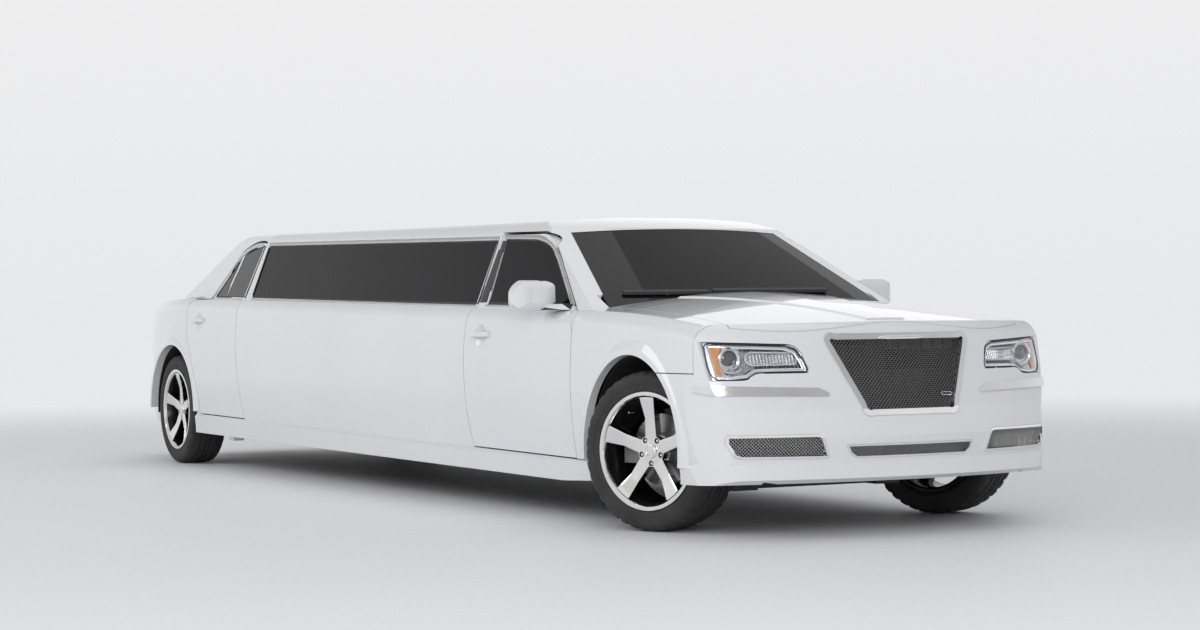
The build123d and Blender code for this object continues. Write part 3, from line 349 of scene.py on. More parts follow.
NODE_LOOKS = (
    # material, nodes
    (paint, ("body_side_left", "body_side_right", "roof", "hood", "trunk_lid", "fender_left", "fender_right",
             "front_fascia", "rear_fascia", "front_door_left", "front_door_right", "rear_door_left",
             "rear_door_right", "parcel_shelf")),
    (black_glass, ("windshield", "rear_window", "side_windows", "front_door_glass_left",
                   "front_door_glass_right", "rear_door_glass_left", "rear_door_glass_right")),
    (chrome, ("bumper_strips",)),
    (rubber, ("tyre_front_left", "tyre_front_right", "tyre_rear_left", "tyre_rear_right")),
    (frame_black, ("front_frame", "rear_suspension", "knuckle_left", "knuckle_right")),
    (matt_black, ("cowl", "wipers")),
    (liner_black, ("wheel_liners",)),
    (underbody, ("floor_pan",)),
    (exhaust_steel, ("exhaust",)),
    (leather, ("seats",)),
    (dash_skin, ("dashboard",)),
    (red_lens, ("taillights",)),
    (reflector, ("headlights",)),
    (clear_glass, ("headlight_lenses",)),
)


def dress_nodes():
    """Gives the carried-over nodes of one material each that material."""
    for material, names in NODE_LOOKS:
        for name in names:
            data = nodes[name].data
            data.materials.clear()
            data.materials.append(material)


# Mesh helpers. Rays start well outside the car.
RAY_START_X = 6.0
RAY_START_Y = 2.0


def finish_piece(name, bm, material, body, smooth_angle=35, replaces=(), bevel=0.0, segments=2):
    """Turns a bmesh into a piece that rides on a body."""
    bmesh.ops.recalc_face_normals(bm, faces=bm.faces)
    for face in bm.faces:
        face.smooth = True
    for edge in bm.edges:
        if len(edge.link_faces) == 2:
            edge.smooth = edge.calc_face_angle(0) < math.radians(smooth_angle)
    mesh = bpy.data.meshes.new(name)
    bm.to_mesh(mesh)
    bm.free()
    piece = bpy.data.objects.new(name, mesh)
    scene.collection.objects.link(piece)
    materials = material if isinstance(material, (list, tuple)) else [material]
    for item in materials:
        mesh.materials.append(item)
    if bevel:
        modifier = piece.modifiers.new("bevel", "BEVEL")
        modifier.width = bevel
        modifier.segments = segments
        modifier.limit_method = "ANGLE"
        modifier.angle_limit = math.radians(30)
        modifier.harden_normals = True
    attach(piece, body)
    if replaces:
        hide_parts(*replaces)
    return piece


def tree_of(*names):
    """Ray target made of CAD nodes."""
    points = []
    faces = []
    for name in names:
        data = nodes[name].data
        base = len(points)
        points.extend(vertex.co.copy() for vertex in data.vertices)
        faces.extend([base + index for index in polygon.vertices] for polygon in data.polygons)
    return BVHTree.FromPolygons(points, faces)


def ray_hit(tree, start, direction, lift=0.0):
    """Point and outward normal where a ray meets a tree, or None twice."""
    direction = Vector(direction)
    point, normal = tree.ray_cast(Vector(start), direction)[:2]
    if point is None:
        return None, None
    if normal.dot(direction) > 0:
        normal = -normal
    return point + normal * lift, normal


def side_hit(tree, x, z, side, lift=0.0):
    """Point and outward normal of the car's side at (x, z)."""
    return ray_hit(tree, (x, side * RAY_START_Y, z), (0, -side, 0), lift)


def front_hit(tree, y, z, lift=0.0):
    """Point and outward normal of the car's front at (y, z)."""
    return ray_hit(tree, (RAY_START_X, y, z), (-1, 0, 0), lift)


def back_hit(tree, y, z, lift=0.0):
    """Point and outward normal of the car's back at (y, z)."""
    return ray_hit(tree, (-RAY_START_X, y, z), (1, 0, 0), lift)


def resample(points, step, closed=False):
    """Points along a polyline at about an even step, corners kept."""
    result = []
    count = len(points)
    last = count if closed else count - 1
    for index in range(last):
        start = Vector(points[index])
        stop = Vector(points[(index + 1) % count])
        parts = max(1, round((stop - start).length / step))
        for part in range(parts):
            result.append(start.lerp(stop, part / parts))
    if not closed:
        result.append(Vector(points[-1]))
    return result


def rounded(points, radius, closed=False, parts=5):
    """Polyline with its corners rounded."""
    result = []
    count = len(points)
    for index in range(count):
        here = Vector(points[index])
        if not closed and index in (0, count - 1):
            result.append(here)
            continue
        before = Vector(points[(index - 1) % count])
        after = Vector(points[(index + 1) % count])
        reach = min(radius, (before - here).length * 0.48, (after - here).length * 0.48)
        start = here + (before - here).normalized() * reach
        stop = here + (after - here).normalized() * reach
        for part in range(parts + 1):
            t = part / parts
            result.append(start * (1 - t) ** 2 + here * 2 * t * (1 - t) + stop * t ** 2)
    return result


def sweep(bm, path, normals, profile, closed=False, material_index=0):
    """Runs a profile of (across, out) points along a path with given normals."""
    count = len(path)
    rings = []
    for index in range(count):
        before = path[index - 1] if index or closed else path[index]
        after = path[(index + 1) % count] if index < count - 1 or closed else path[index]
        along = (after - before).normalized()
        out = normals[index]
        across = along.cross(out).normalized()
        rings.append([bm.verts.new(path[index] + across * u + out * v) for u, v in profile])
    size = len(profile)
    last = count if closed else count - 1
    for index in range(last):
        ring = rings[index]
        other = rings[(index + 1) % count]
        for k in range(size):
            face = bm.faces.new((ring[k], ring[(k + 1) % size], other[(k + 1) % size], other[k]))
            face.material_index = material_index
    if not closed:
        bm.faces.new(rings[0]).material_index = material_index
        bm.faces.new(list(reversed(rings[-1]))).material_index = material_index
    return rings


def half_round(width, height, sink=0.003, parts=8):
    """Profile of a raised moulding."""
    points = [(-width / 2, -sink)]
    for part in range(parts + 1):
        angle = math.pi * part / parts
        points.append((-width / 2 * math.cos(angle), height * math.sin(angle) ** 0.7))
    points.append((width / 2, -sink))
    return points


def flat_bar(width, height, sink=0.003, edge=0.0015):
    """Profile of a flat moulding with small chamfers."""
    half = width / 2
    return [(-half, -sink), (-half, height - edge), (-half + edge, height), (half - edge, height),
            (half, height - edge), (half, -sink)]


def side_strip(name, points, profile, tree, side, material, body, closed=False, lift=0.0, step=0.03):
    """Moulding along a line of (x, z) points on the car's side."""
    places = []
    normals = []
    for x, z in resample(points, step, closed):
        point, normal = side_hit(tree, x, z, side, lift)
        if point is None:
            continue
        places.append(point)
        normals.append(normal)
    smooth = []
    count = len(normals)
    for index in range(count):
        total = Vector()
        for shift in (-2, -1, 0, 1, 2):
            near = index + shift
            if closed or 0 <= near < count:
                total += normals[near % count]
        smooth.append(total.normalized())
    bm = bmesh.new()
    sweep(bm, places, smooth, profile, closed)
    return finish_piece(name, bm, material, body)


def join_rings(bm, rings):
    """Faces between closed rings that follow each other round a loop."""
    size = len(rings[0])
    for index, ring in enumerate(rings):
        other = rings[(index + 1) % len(rings)]
        for k in range(size):
            after = (k + 1) % size
            bm.faces.new((ring[k], ring[after], other[after], other[k]))


def spin_profile(bm, profile, parts, matrix=Matrix.Identity(4)):
    """Lathe: (radius, along) points turned about the local Y axis."""
    rings = []
    for part in range(parts):
        angle = TAU * part / parts
        ring = []
        for radius, along in profile:
            spot = Vector((radius * math.cos(angle), along, radius * math.sin(angle)))
            ring.append(bm.verts.new(matrix @ spot))
        rings.append(ring)
    join_rings(bm, rings)


# Floor, backdrop and light
def make_stage():
    bm = bmesh.new()
    bmesh.ops.create_grid(bm, x_segments=1, y_segments=1, size=60)
    mesh = bpy.data.meshes.new("floor")
    bm.to_mesh(mesh)
    bm.free()
    floor = bpy.data.objects.new("floor", mesh)
    floor.location.z = cad_low.z - 0.0005
    mesh.materials.append(make_floor())
    scene.collection.objects.link(floor)


def make_world():
    """Soft light for the car, and the pale backdrop that the camera, glass and metal see."""
    world = bpy.data.worlds.new("studio")
    world.use_nodes = True
    tree = world.node_tree
    links = tree.links
    light = tree.nodes["Background"]
    light.inputs["Color"].default_value = (0.86, 0.88, 0.92, 1)
    light.inputs["Strength"].default_value = WORLD_STRENGTH
    place = tree.nodes.new("ShaderNodeTexCoord")
    split = tree.nodes.new("ShaderNodeSeparateXYZ")
    links.new(place.outputs["Generated"], split.inputs["Vector"])
    ramp = tree.nodes.new("ShaderNodeValToRGB")
    stops = ramp.color_ramp.elements
    stops[0].position = 0.0
    stops[0].color = BACKDROP
    stops[1].position = 1.0
    stops[1].color = (0.80, 0.81, 0.83, 1)
    for position, level in SKY_BANDS:
        stop = stops.new(position)
        stop.color = (level, level, level * 1.01, 1)
    links.new(split.outputs["Z"], ramp.inputs["Fac"])
    shown = tree.nodes.new("ShaderNodeBackground")
    links.new(ramp.outputs["Color"], shown.inputs["Color"])
    paths = tree.nodes.new("ShaderNodeLightPath")
    seen = paths.outputs["Is Camera Ray"]
    for name in ("Is Glossy Ray", "Is Transmission Ray"):
        either = tree.nodes.new("ShaderNodeMath")
        either.operation = "MAXIMUM"
        links.new(seen, either.inputs[0])
        links.new(paths.outputs[name], either.inputs[1])
        seen = either.outputs["Value"]
    mix = tree.nodes.new("ShaderNodeMixShader")
    links.new(seen, mix.inputs["Fac"])
    links.new(light.outputs["Background"], mix.inputs[1])
    links.new(shown.outputs["Background"], mix.inputs[2])
    links.new(mix.outputs["Shader"], tree.nodes["World Output"].inputs["Surface"])
    scene.world = world


WORLD_STRENGTH = 0.50
# Height of a direction, and how bright the studio looks there: pale low down, a darker band above it
SKY_BANDS = ((0.14, 0.86), (0.26, 0.72), (0.46, 0.46), (0.70, 0.66))
LAMPS = (
    # name, place, aim, size across, size along, power
    ("key", (12.0, -6.5, 4.6), (2.5, 0, 0.6), 7.0, 4.0, 400),
    ("side", (-3.0, -10.0, 5.5), (-1.0, 0, 0.7), 10.0, 4.0, 260),
    ("top", (0.0, 1.0, 9.0), (0, 0, 0), 12.0, 5.0, 90),
    ("back", (-8.0, 8.0, 6.0), (0, 0, 0.5), 8.0, 5.0, 55),
)


def make_lamps():
    for name, place, aim, across, along, power in LAMPS:
        data = bpy.data.lights.new(name, "AREA")
        data.shape = "RECTANGLE"
        data.size = across
        data.size_y = along
        data.energy = power
        lamp = bpy.data.objects.new(name, data)
        lamp.location = place
        lamp.rotation_euler = (Vector(aim) - Vector(place)).to_track_quat("-Z", "Y").to_euler()
        scene.collection.objects.link(lamp)


# Wheels and tyres. In their local frame Y points out of the car, and the origin is on the axle in the
# tyre's middle plane.
NUT_CIRCLE = 0.057
SPOKES = 5
VALVE_RADIUS = 0.212
VALVE_ANGLE = 0.63
# Lathe profiles as (radius, distance out of the tyre's middle plane)
NUT_PROFILE = ((0.0001, 0.0770), (0.0060, 0.0765), (0.0088, 0.0735), (0.0092, 0.0615), (0.0001, 0.0615))
CAP_PROFILE = ((0.0001, 0.0838), (0.0240, 0.0832), (0.0262, 0.0815), (0.0275, 0.0812), (0.0285, 0.0828),
               (0.0330, 0.0826), (0.0345, 0.0805), (0.0345, 0.0760), (0.0001, 0.0760))
VALVE_PROFILE = ((0.0001, 0.080), (0.0030, 0.080), (0.0036, 0.074), (0.0036, 0.040), (0.0001, 0.040))
# Where the wheel's finishes meet: radii, distances out of the middle plane, and how far a face turns outward
DISC_RADIUS = 0.17
DISC_PLANE = -0.004
HUB_RADIUS = 0.2
HUB_PLANE = 0.03
LIP_RADIUS = 0.246
LIP_PLANE = 0.08
BARREL_RADIUS = 0.225
SPOKE_FACING = 0.55
# Box that holds a brake caliper: distance from the axle fore and aft, half height, and span out of the plane
CALIPER_REACH = (0.1, 0.24)
CALIPER_HEIGHT = 0.07
CALIPER_SPAN = (-0.06, 0.02)
TYRE_PARTS = 240
LUG_PITCH = 6
LUG_CUT = 2
LUG_SHIFT = 3
# Half section of the tyre from the bead to the tread's middle: radius, distance from the middle plane and
# lug depth
TYRE_SECTION = (
    (0.2565, 0.0960, 0),
    (0.2590, 0.1010, 0),
    (0.2650, 0.1085, 0),
    (0.2740, 0.1120, 0),
    (0.2760, 0.1150, 0),
    (0.2800, 0.1160, 0),
    (0.2950, 0.1185, 0),
    (0.3000, 0.1186, 0),
    (0.3005, 0.1200, 0),
    (0.3060, 0.1208, 0),
    (0.3065, 0.1200, 0),
    (0.3220, 0.1205, 0),
    (0.3360, 0.1185, 0),
    (0.3450, 0.1150, 0.002),
    (0.3530, 0.1085, 0.006),
    (0.3585, 0.1010, 0.006),
    (0.3618, 0.0890, 0.006),
    (0.3630, 0.0680, 0.005),
    (0.3632, 0.0620, 0),
    (0.3560, 0.0600, 0),
    (0.3560, 0.0510, 0),
    (0.3636, 0.0490, 0),
    (0.3638, 0.0340, 0.004),
    (0.3639, 0.0200, 0),
    (0.3560, 0.0180, 0),
    (0.3560, 0.0090, 0),
    (0.3640, 0.0070, 0),
)


def wheel_places():
    """Name, body and placing matrix of the four wheels."""
    result = []
    for end in ("front", "rear"):
        for side_name, side in SIDES:
            joint = joints[f"spin_{end}_{side_name}"]
            out = Vector(joint["axis"]).normalized() * side
            up = Vector((0, 0, 1))
            forward = out.cross(up).normalized()
            turn = Matrix((forward, out, up)).transposed().to_4x4()
            place = Matrix.Translation(Vector(joint["pos_m"])) @ turn
            result.append((f"{end}_{side_name}", joint["child"], place))
    return result


def paint_faces(name, materials, choose):
    """Gives each face of a carried-over node the material whose number choose returns."""
    data = nodes[name].data
    data.materials.clear()
    for material in materials:
        data.materials.append(material)
    for polygon in data.polygons:
        polygon.material_index = choose(polygon)


def solid_groups(name):
    """Faces of a node, grouped by the solid that they belong to, each with its lowest and highest corner."""
    data = nodes[name].data
    place_ids = {}
    ids = []
    for vertex in data.vertices:
        place = tuple(round(c, 5) for c in vertex.co)
        ids.append(place_ids.setdefault(place, len(place_ids)))
    parent = list(range(len(place_ids)))

    def root(index):
        while parent[index] != index:
            parent[index] = parent[parent[index]]
            index = parent[index]
        return index

    for polygon in data.polygons:
        first = root(ids[polygon.vertices[0]])
        for vertex in polygon.vertices[1:]:
            parent[root(ids[vertex])] = first
    groups = {}
    for polygon in data.polygons:
        groups.setdefault(root(ids[polygon.vertices[0]]), []).append(polygon)
    result = []
    for members in groups.values():
        corners = [data.vertices[index].co for polygon in members for index in polygon.vertices]
        low = Vector([min(c[axis] for c in corners) for axis in range(3)])
        high = Vector([max(c[axis] for c in corners) for axis in range(3)])
        result.append((members, low, high))
    return result


def dress_wheel(name, matrix):
    """Chrome faces, dark side walls and barrel, and a steel brake disc."""
    inverse = matrix.inverted()
    turn = inverse.to_3x3()

    def choose(polygon):
        centre = inverse @ polygon.center
        normal = turn @ polygon.normal
        radius = math.hypot(centre.x, centre.z)
        if centre.y < DISC_PLANE and radius < DISC_RADIUS:
            return 2
        if centre.y < HUB_PLANE and radius < HUB_RADIUS:
            return 3
        if radius > LIP_RADIUS and centre.y > LIP_PLANE:
            return 0
        if normal.y > SPOKE_FACING and centre.y > HUB_PLANE:
            return 0
        if radius > BARREL_RADIUS:
            return 4
        return 1

    paint_faces(name, (wheel_chrome, wheel_side, disc_steel, cast_metal, barrel_black), choose)
    node = nodes[name]
    weld = node.modifiers.new("weld", "WELD")
    weld.merge_threshold = 0.00005
    bevel = node.modifiers.new("bevel", "BEVEL")
    bevel.width = 0.0016
    bevel.segments = 2
    bevel.limit_method = "ANGLE"
    bevel.angle_limit = math.radians(32)
    bevel.harden_normals = True


def make_tyre(name, body, matrix):
    """Tyre with grooves round it, cross cuts at the shoulders and ribs on its walls."""
    half = list(TYRE_SECTION)
    section = half + [(radius, -across, cut) for radius, across, cut in reversed(half)]
    bm = bmesh.new()
    rings = []
    for part in range(TYRE_PARTS):
        angle = TAU * part / TYRE_PARTS
        ring = []
        for radius, across, cut in section:
            shift = LUG_SHIFT if across < 0 else 0
            in_cut = (part + shift) % LUG_PITCH < LUG_CUT
            reach = radius - cut if in_cut else radius
            ring.append(bm.verts.new((reach * math.cos(angle), across, reach * math.sin(angle))))
        rings.append(ring)
    join_rings(bm, rings)
    bm.transform(matrix)
    finish_piece("tread_" + name, bm, rubber, body, 38, ("tyre_" + name,))


def make_fittings(name, body, matrix):
    """Five nuts in their sockets, the cap in the middle and the valve."""
    bm = bmesh.new()
    for index in range(SPOKES):
        angle = TAU * (index + 0.5) / SPOKES
        place = Matrix.Translation((NUT_CIRCLE * math.sin(angle), 0, NUT_CIRCLE * math.cos(angle)))
        spin_profile(bm, NUT_PROFILE, 6, place)
    spin_profile(bm, CAP_PROFILE, 48)
    valve = Matrix.Translation((VALVE_RADIUS * math.sin(VALVE_ANGLE), 0, VALVE_RADIUS * math.cos(VALVE_ANGLE)))
    spin_profile(bm, VALVE_PROFILE, 12, valve)
    bm.transform(matrix)
    finish_piece("wheel_fittings_" + name, bm, wheel_chrome, body, 30)


def dress_caliper(name, matrices):
    """Lighter paint on the brake calipers of a node."""
    data = nodes[name].data
    data.materials.append(caliper_paint)
    for polygon in data.polygons:
        for matrix in matrices:
            place = matrix.inverted() @ polygon.center
            beside_disc = CALIPER_REACH[0] < abs(place.x) < CALIPER_REACH[1] and abs(place.z) < CALIPER_HEIGHT
            if beside_disc and CALIPER_SPAN[0] < place.y < CALIPER_SPAN[1]:
                polygon.material_index = 1


def make_wheels():
    for name, body, matrix in wheel_places():
        dress_wheel("wheel_" + name, matrix)
        make_tyre(name, body, matrix)
        make_fittings(name, body, matrix)
    places = {name: matrix for name, body, matrix in wheel_places()}
    dress_caliper("knuckle_left", [places["front_left"]])
    dress_caliper("knuckle_right", [places["front_right"]])
    dress_caliper("rear_suspension", [places["rear_left"], places["rear_right"]])


# Grilles: outlines seen from the front as (y, z)
GRILLE_OUTLINE = ((-0.383, 0.846), (-0.372, 0.884), (-0.330, 0.888), (0.330, 0.888), (0.372, 0.884),
                  (0.383, 0.846), (0.262, 0.575), (0.240, 0.534), (0.200, 0.530), (-0.200, 0.530),
                  (-0.240, 0.534), (-0.262, 0.575))
GRILLE_FRAME = 0.026
CENTRE_FRAME = 0.007
FOG_FRAME = 0.011
# Solids of one grille have their middles closer together than this
GRILLE_SPREAD = 0.12
# Pitch of the wires, their radius, and how deep they lie behind the nose's skin
COARSE_WEAVE = (0.0125, 0.0017, 0.0130)
FINE_WEAVE = (0.0105, 0.0015, 0.0125)
FOG_OUTLINE = ((0.414, 0.357), (0.448, 0.447), (0.470, 0.456), (0.850, 0.456), (0.858, 0.446), (0.858, 0.418),
               (0.829, 0.362), (0.796, 0.351), (0.422, 0.348))
CENTRE_OUTLINE = ((-0.291, 0.346), (-0.322, 0.368), (-0.339, 0.406), (0.339, 0.406), (0.322, 0.368),
                  (0.291, 0.346))
# The nose is a body of revolution about this upright axis, with its side view through these (x, z) points
NOSE_AXIS_X = 1.978
NOSE_PROFILE = ((4.133, 0.240), (4.173, 0.260), (4.161, 0.330), (4.173, 0.440), (4.163, 0.520), (4.158, 0.560),
                (4.063, 0.885), (4.040, 0.922), (3.990, 0.944))


def nose_radius(z):
    """Radius of the nose about its axis at height z."""
    for start, stop in zip(NOSE_PROFILE, NOSE_PROFILE[1:]):
        if z <= stop[1]:
            share = (z - start[1]) / (stop[1] - start[1])
            return start[0] + share * (stop[0] - start[0]) - NOSE_AXIS_X
    return NOSE_PROFILE[-1][0] - NOSE_AXIS_X


def nose_point(y, z, depth=0.0):
    """Point in the nose at a depth behind its skin."""
    radius = nose_radius(z) - depth
    return Vector((NOSE_AXIS_X + math.sqrt(max(radius * radius - y * y, 0.01)), y, z))


def nose_normal(y, z):
    """Outward direction of the nose."""
    here = nose_point(y, z)
    across = nose_point(y + 0.002, z) - here
    up = nose_point(y, z + 0.002) - here
    return across.cross(up).normalized()


def inside(outline, y, z, margin=0.0):
    """True where a point lies in a convex outline, at least margin from its edges."""
    count = len(outline)
    turn = 0
    for index in range(count):
        y0, z0 = outline[index]
        y1, z1 = outline[(index + 1) % count]
        turn += y0 * z1 - y1 * z0
    sign = 1 if turn > 0 else -1
    for index in range(count):
        y0, z0 = outline[index]
        y1, z1 = outline[(index + 1) % count]
        reach = math.hypot(y1 - y0, z1 - z0)
        if sign * ((y1 - y0) * (z - z0) - (z1 - z0) * (y - y0)) / reach < margin:
            return False
    return True


def weave(name, outline, margin, pitch, wire, depth, material, slot):
    """Wires that cross at 45 degrees, over and under each other, inside an outline."""
    low_y = min(y for y, z in outline)
    high_y = max(y for y, z in outline)
    low_z = min(z for y, z in outline)
    high_z = max(z for y, z in outline)
    width = high_y - low_y
    height = high_z - low_z
    reach = width + height
    step = pitch / 2
    bm = bmesh.new()
    profile = [(wire * math.cos(a), wire * math.sin(a)) for a in (0.4, 1.97, 3.54, 5.11)]
    for direction in (1, -1):
        for number in range(int(reach / (pitch * ROOT_TWO)) + 1):
            offset = (number + 0.5) * pitch * ROOT_TWO
            run = []
            runs = []
            for part in range(int(reach / step) + 2):
                t = part * step * DIAGONAL
                y = low_y + offset - t if direction == 1 else high_y - offset + t
                z = low_z + t
                if inside(outline, y, z, margin):
                    over = wire * 0.8 * math.cos(math.pi * part + (0 if direction == 1 else math.pi))
                    run.append((y, z, over))
                elif run:
                    runs.append(run)
                    run = []
            if run:
                runs.append(run)
            for members in runs:
                if len(members) < 3:
                    continue
                path = [nose_point(y, z, depth - over) for y, z, over in members]
                normals = [nose_normal(y, z) for y, z, over in members]
                sweep(bm, path, normals, profile)
    return finish_piece(name, bm, material, "body", 60)


def dress_grilles():
    """Chrome frames and dark bars in the CAD grilles, with the fine weave in front of the bars."""
    for name in ("main_grille", "lower_grilles"):
        groups = solid_groups(name)
        data = nodes[name].data
        data.materials.clear()
        data.materials.append(chrome)
        data.materials.append(grille_bar)
        for members, low, high in groups:
            middle = (low + high) / 2
            same = [g for g in groups if ((g[1] + g[2]) / 2 - middle).length < GRILLE_SPREAD]
            largest = max(same, key=lambda g: (g[2] - g[1]).length)
            for polygon in members:
                polygon.material_index = 0 if members is largest[0] else 1
    weave("grille_weave", GRILLE_OUTLINE, GRILLE_FRAME - 0.002, *COARSE_WEAVE, weave_steel, "chrome")
    weave("centre_grille_weave", CENTRE_OUTLINE, CENTRE_FRAME, *FINE_WEAVE, weave_bright, "chrome")
    for side_name, side in SIDES:
        outline = [(side * y, z) for y, z in FOG_OUTLINE]
        weave("fog_grille_weave_" + side_name, outline, FOG_FRAME, *FINE_WEAVE, weave_bright, "chrome")


def patch(name, place, columns, rows, thick, material, body):
    """Thin closed panel: place(u, v) gives the point and outward normal for u and v from 0 to 1."""
    bm = bmesh.new()
    front = {}
    back = {}
    for i in range(columns + 1):
        for j in range(rows + 1):
            point, normal = place(i / columns, j / rows)
            if point is not None:
                front[i, j] = bm.verts.new(point)
                back[i, j] = bm.verts.new(point - normal * thick)
    cells = set()
    for i in range(columns):
        for j in range(rows):
            if all(key in front for key in ((i, j), (i + 1, j), (i + 1, j + 1), (i, j + 1))):
                cells.add((i, j))
    for i, j in sorted(cells):
        corners = ((i, j), (i + 1, j), (i + 1, j + 1), (i, j + 1))
        bm.faces.new([front[key] for key in corners])
        bm.faces.new([back[key] for key in reversed(corners)])
        for k, near in enumerate(((i, j - 1), (i + 1, j), (i, j + 1), (i - 1, j))):
            if near not in cells:
                first = corners[k]
                second = corners[(k + 1) % 4]
                bm.faces.new((front[second], front[first], back[first], back[second]))
    bmesh.ops.delete(bm, geom=[vertex for vertex in bm.verts if not vertex.link_faces], context="VERTS")
    return finish_piece(name, bm, material, body)


def side_quad(tree, side, corners, lift):
    """Place function for a patch between four (x, z) corners on the car's side."""
    a, b, c, d = [Vector(corner) for corner in corners]

    def place(u, v):
        spot = a.lerp(b, u).lerp(d.lerp(c, u), v)
        return side_hit(tree, spot.x, spot.y, side, lift)

    return place


def inset(outline, distance):
    """Outline moved inwards by a distance."""
    count = len(outline)
    turn = 0
    for index in range(count):
        turn += outline[index - 1][0] * outline[index][1] - outline[index][0] * outline[index - 1][1]
    sign = 1 if turn > 0 else -1
    result = []
    for index in range(count):
        before = Vector(outline[index - 1])
        here = Vector(outline[index])
        after = Vector(outline[(index + 1) % count])
        first = (here - before).normalized()
        second = (after - here).normalized()
        inward = (Vector((-first.y, first.x)) + Vector((-second.y, second.x))).normalized() * sign
        lean = max(0.5, abs(inward.dot(Vector((-first.y, first.x)))))
        result.append(tuple(here + inward * distance / lean))
    return result


def face_strip(name, outline, profile, hit, lift, material, closed=True, step=0.008):
    """Moulding along (y, z) points on the car's front or back."""
    places = []
    normals = []
    for y, z in resample(outline, step, closed):
        point, normal = hit(y, z, lift)
        if point is not None:
            places.append(point)
            normals.append(normal)
    bm = bmesh.new()
    sweep(bm, places, normals, profile, closed)
    return finish_piece(name, bm, material, "body")


def flat_place(hit, low, high, lift):
    """Place function for a patch between two opposite (across, z) corners."""

    def place(u, v):
        across = low[0] + (high[0] - low[0]) * u
        z = low[1] + (high[1] - low[1]) * v
        return hit(across, z, lift)

    return place


# Headlights: outlines seen from the front as (distance from the car's middle plane, z)
LAMP_OUTLINE = ((0.480, 0.724), (0.476, 0.738), (0.490, 0.781), (0.512, 0.824), (0.560, 0.842), (0.880, 0.855),
                (0.897, 0.845), (0.899, 0.753), (0.888, 0.715), (0.868, 0.693), (0.800, 0.691), (0.740, 0.698),
                (0.705, 0.720), (0.664, 0.723))
MASK_OUTLINE = ((0.494, 0.737), (0.504, 0.781), (0.526, 0.815), (0.565, 0.829), (0.845, 0.840), (0.852, 0.708),
                (0.800, 0.705), (0.745, 0.711), (0.712, 0.734), (0.664, 0.737))
INNER_LAMP = ((0.510, 0.766), (0.510, 0.796), (0.520, 0.806), (0.706, 0.810), (0.728, 0.795), (0.728, 0.768),
              (0.706, 0.753), (0.520, 0.756))
PROJECTOR = (0.7915, 0.780)
PROJECTOR_X = 3.902
MASK_DEPTH = 0.032
MASK_HOLE = 0.050
MASK_PARTS = 96
GUIDE_RADIUS = 0.0585
GUIDE_HALF_TURN = math.radians(138)
GUIDE_PARTS = 40
FINS = 15
FIN_SPAN = (0.520, 0.715)
FIN_HEIGHTS = (0.758, 0.781, 0.804)
LOUVRES = 11
LOUVRE_PITCH = 0.0172
LOUVRE_ROWS = (
    # first tooth, lowest and highest point, height where it faces, lean, how far it stands out
    (0.508, 0.7385, 0.7500, 0.745, 0.004, 0.0085),
    (0.545, 0.8160, 0.8240, 0.820, 0.003, 0.0065),
)
AMBER_CORNER = (3.90, 0.86)
AMBER_SPAN = (-0.030, 0.044)
AMBER_LEAN = 0.012
AMBER_HEIGHTS = (0.712, 0.842)
AMBER_DEPTH = 0.0095
ROUND_WIRE = [(math.cos(TAU * k / 8), math.sin(TAU * k / 8)) for k in range(8)]


def wire_profile(radius):
    """Profile of a round wire."""
    return [(radius * u, radius * v) for u, v in ROUND_WIRE]


def outline_reach(outline, centre, angle):
    """Distance from a centre to an outline along an angle."""
    direction = Vector((math.cos(angle), math.sin(angle)))
    best = 0.0
    count = len(outline)
    for index in range(count):
        a = Vector(outline[index]) - Vector(centre)
        b = Vector(outline[(index + 1) % count]) - Vector(centre)
        edge = b - a
        cross = direction.x * edge.y - direction.y * edge.x
        if abs(cross) < 1e-9:
            continue
        t = (a.x * edge.y - a.y * edge.x) / cross
        s = (a.x * direction.y - a.y * direction.x) / cross
        if t > 0 and -0.0001 <= s <= 1.0001:
            best = max(best, t)
    return best


def make_lamp_mask(side, side_name):
    """Satin plate inside the lamp, with a round hole for the projector."""
    bm = bmesh.new()
    rings = []
    for part in range(MASK_PARTS):
        angle = TAU * part / MASK_PARTS
        reach = outline_reach(MASK_OUTLINE, PROJECTOR, angle)
        spread = reach - MASK_HOLE
        ring = []
        for far, depth in ((MASK_HOLE, 0.020), (MASK_HOLE + 0.003, 0), (MASK_HOLE + spread / 3, 0),
                           (MASK_HOLE + spread * 2 / 3, 0.004), (reach, 0), (reach, 0.010)):
            y = PROJECTOR[0] + far * math.cos(angle)
            z = PROJECTOR[1] + far * math.sin(angle)
            ring.append(bm.verts.new(nose_point(side * y, z, MASK_DEPTH + depth)))
        rings.append(ring)
    join_rings(bm, rings)
    finish_piece("headlight_mask_" + side_name, bm, lamp_satin, "body", 50)


def make_projector(side, side_name):
    """Projector lens in its round shroud, facing forward."""
    turn = Matrix(((0, 1, 0), (1, 0, 0), (0, 0, 1))).to_4x4()
    place = Matrix.Translation((PROJECTOR_X, side * PROJECTOR[0], PROJECTOR[1])) @ turn
    shroud = ((0.0378, -0.0020), (0.0385, 0.0060), (0.0410, 0.0100), (0.0450, 0.0085), (0.0455, 0.0120),
              (0.0490, 0.0150), (0.0530, 0.0140), (0.0550, 0.0090), (0.0550, -0.0100), (0.0378, -0.0120))
    dome = ((0.0001, 0.0100), (0.0090, 0.0093), (0.0180, 0.0075), (0.0260, 0.0045), (0.0330, 0.0005),
            (0.0372, -0.0040), (0.0372, -0.0110), (0.0001, -0.0110))
    bm = bmesh.new()
    spin_profile(bm, shroud, 72, place)
    finish_piece("projector_shroud_" + side_name, bm, reflector, "body")
    bm = bmesh.new()
    spin_profile(bm, dome, 64, place)
    finish_piece("projector_lens_" + side_name, bm, projector_glass, "body")


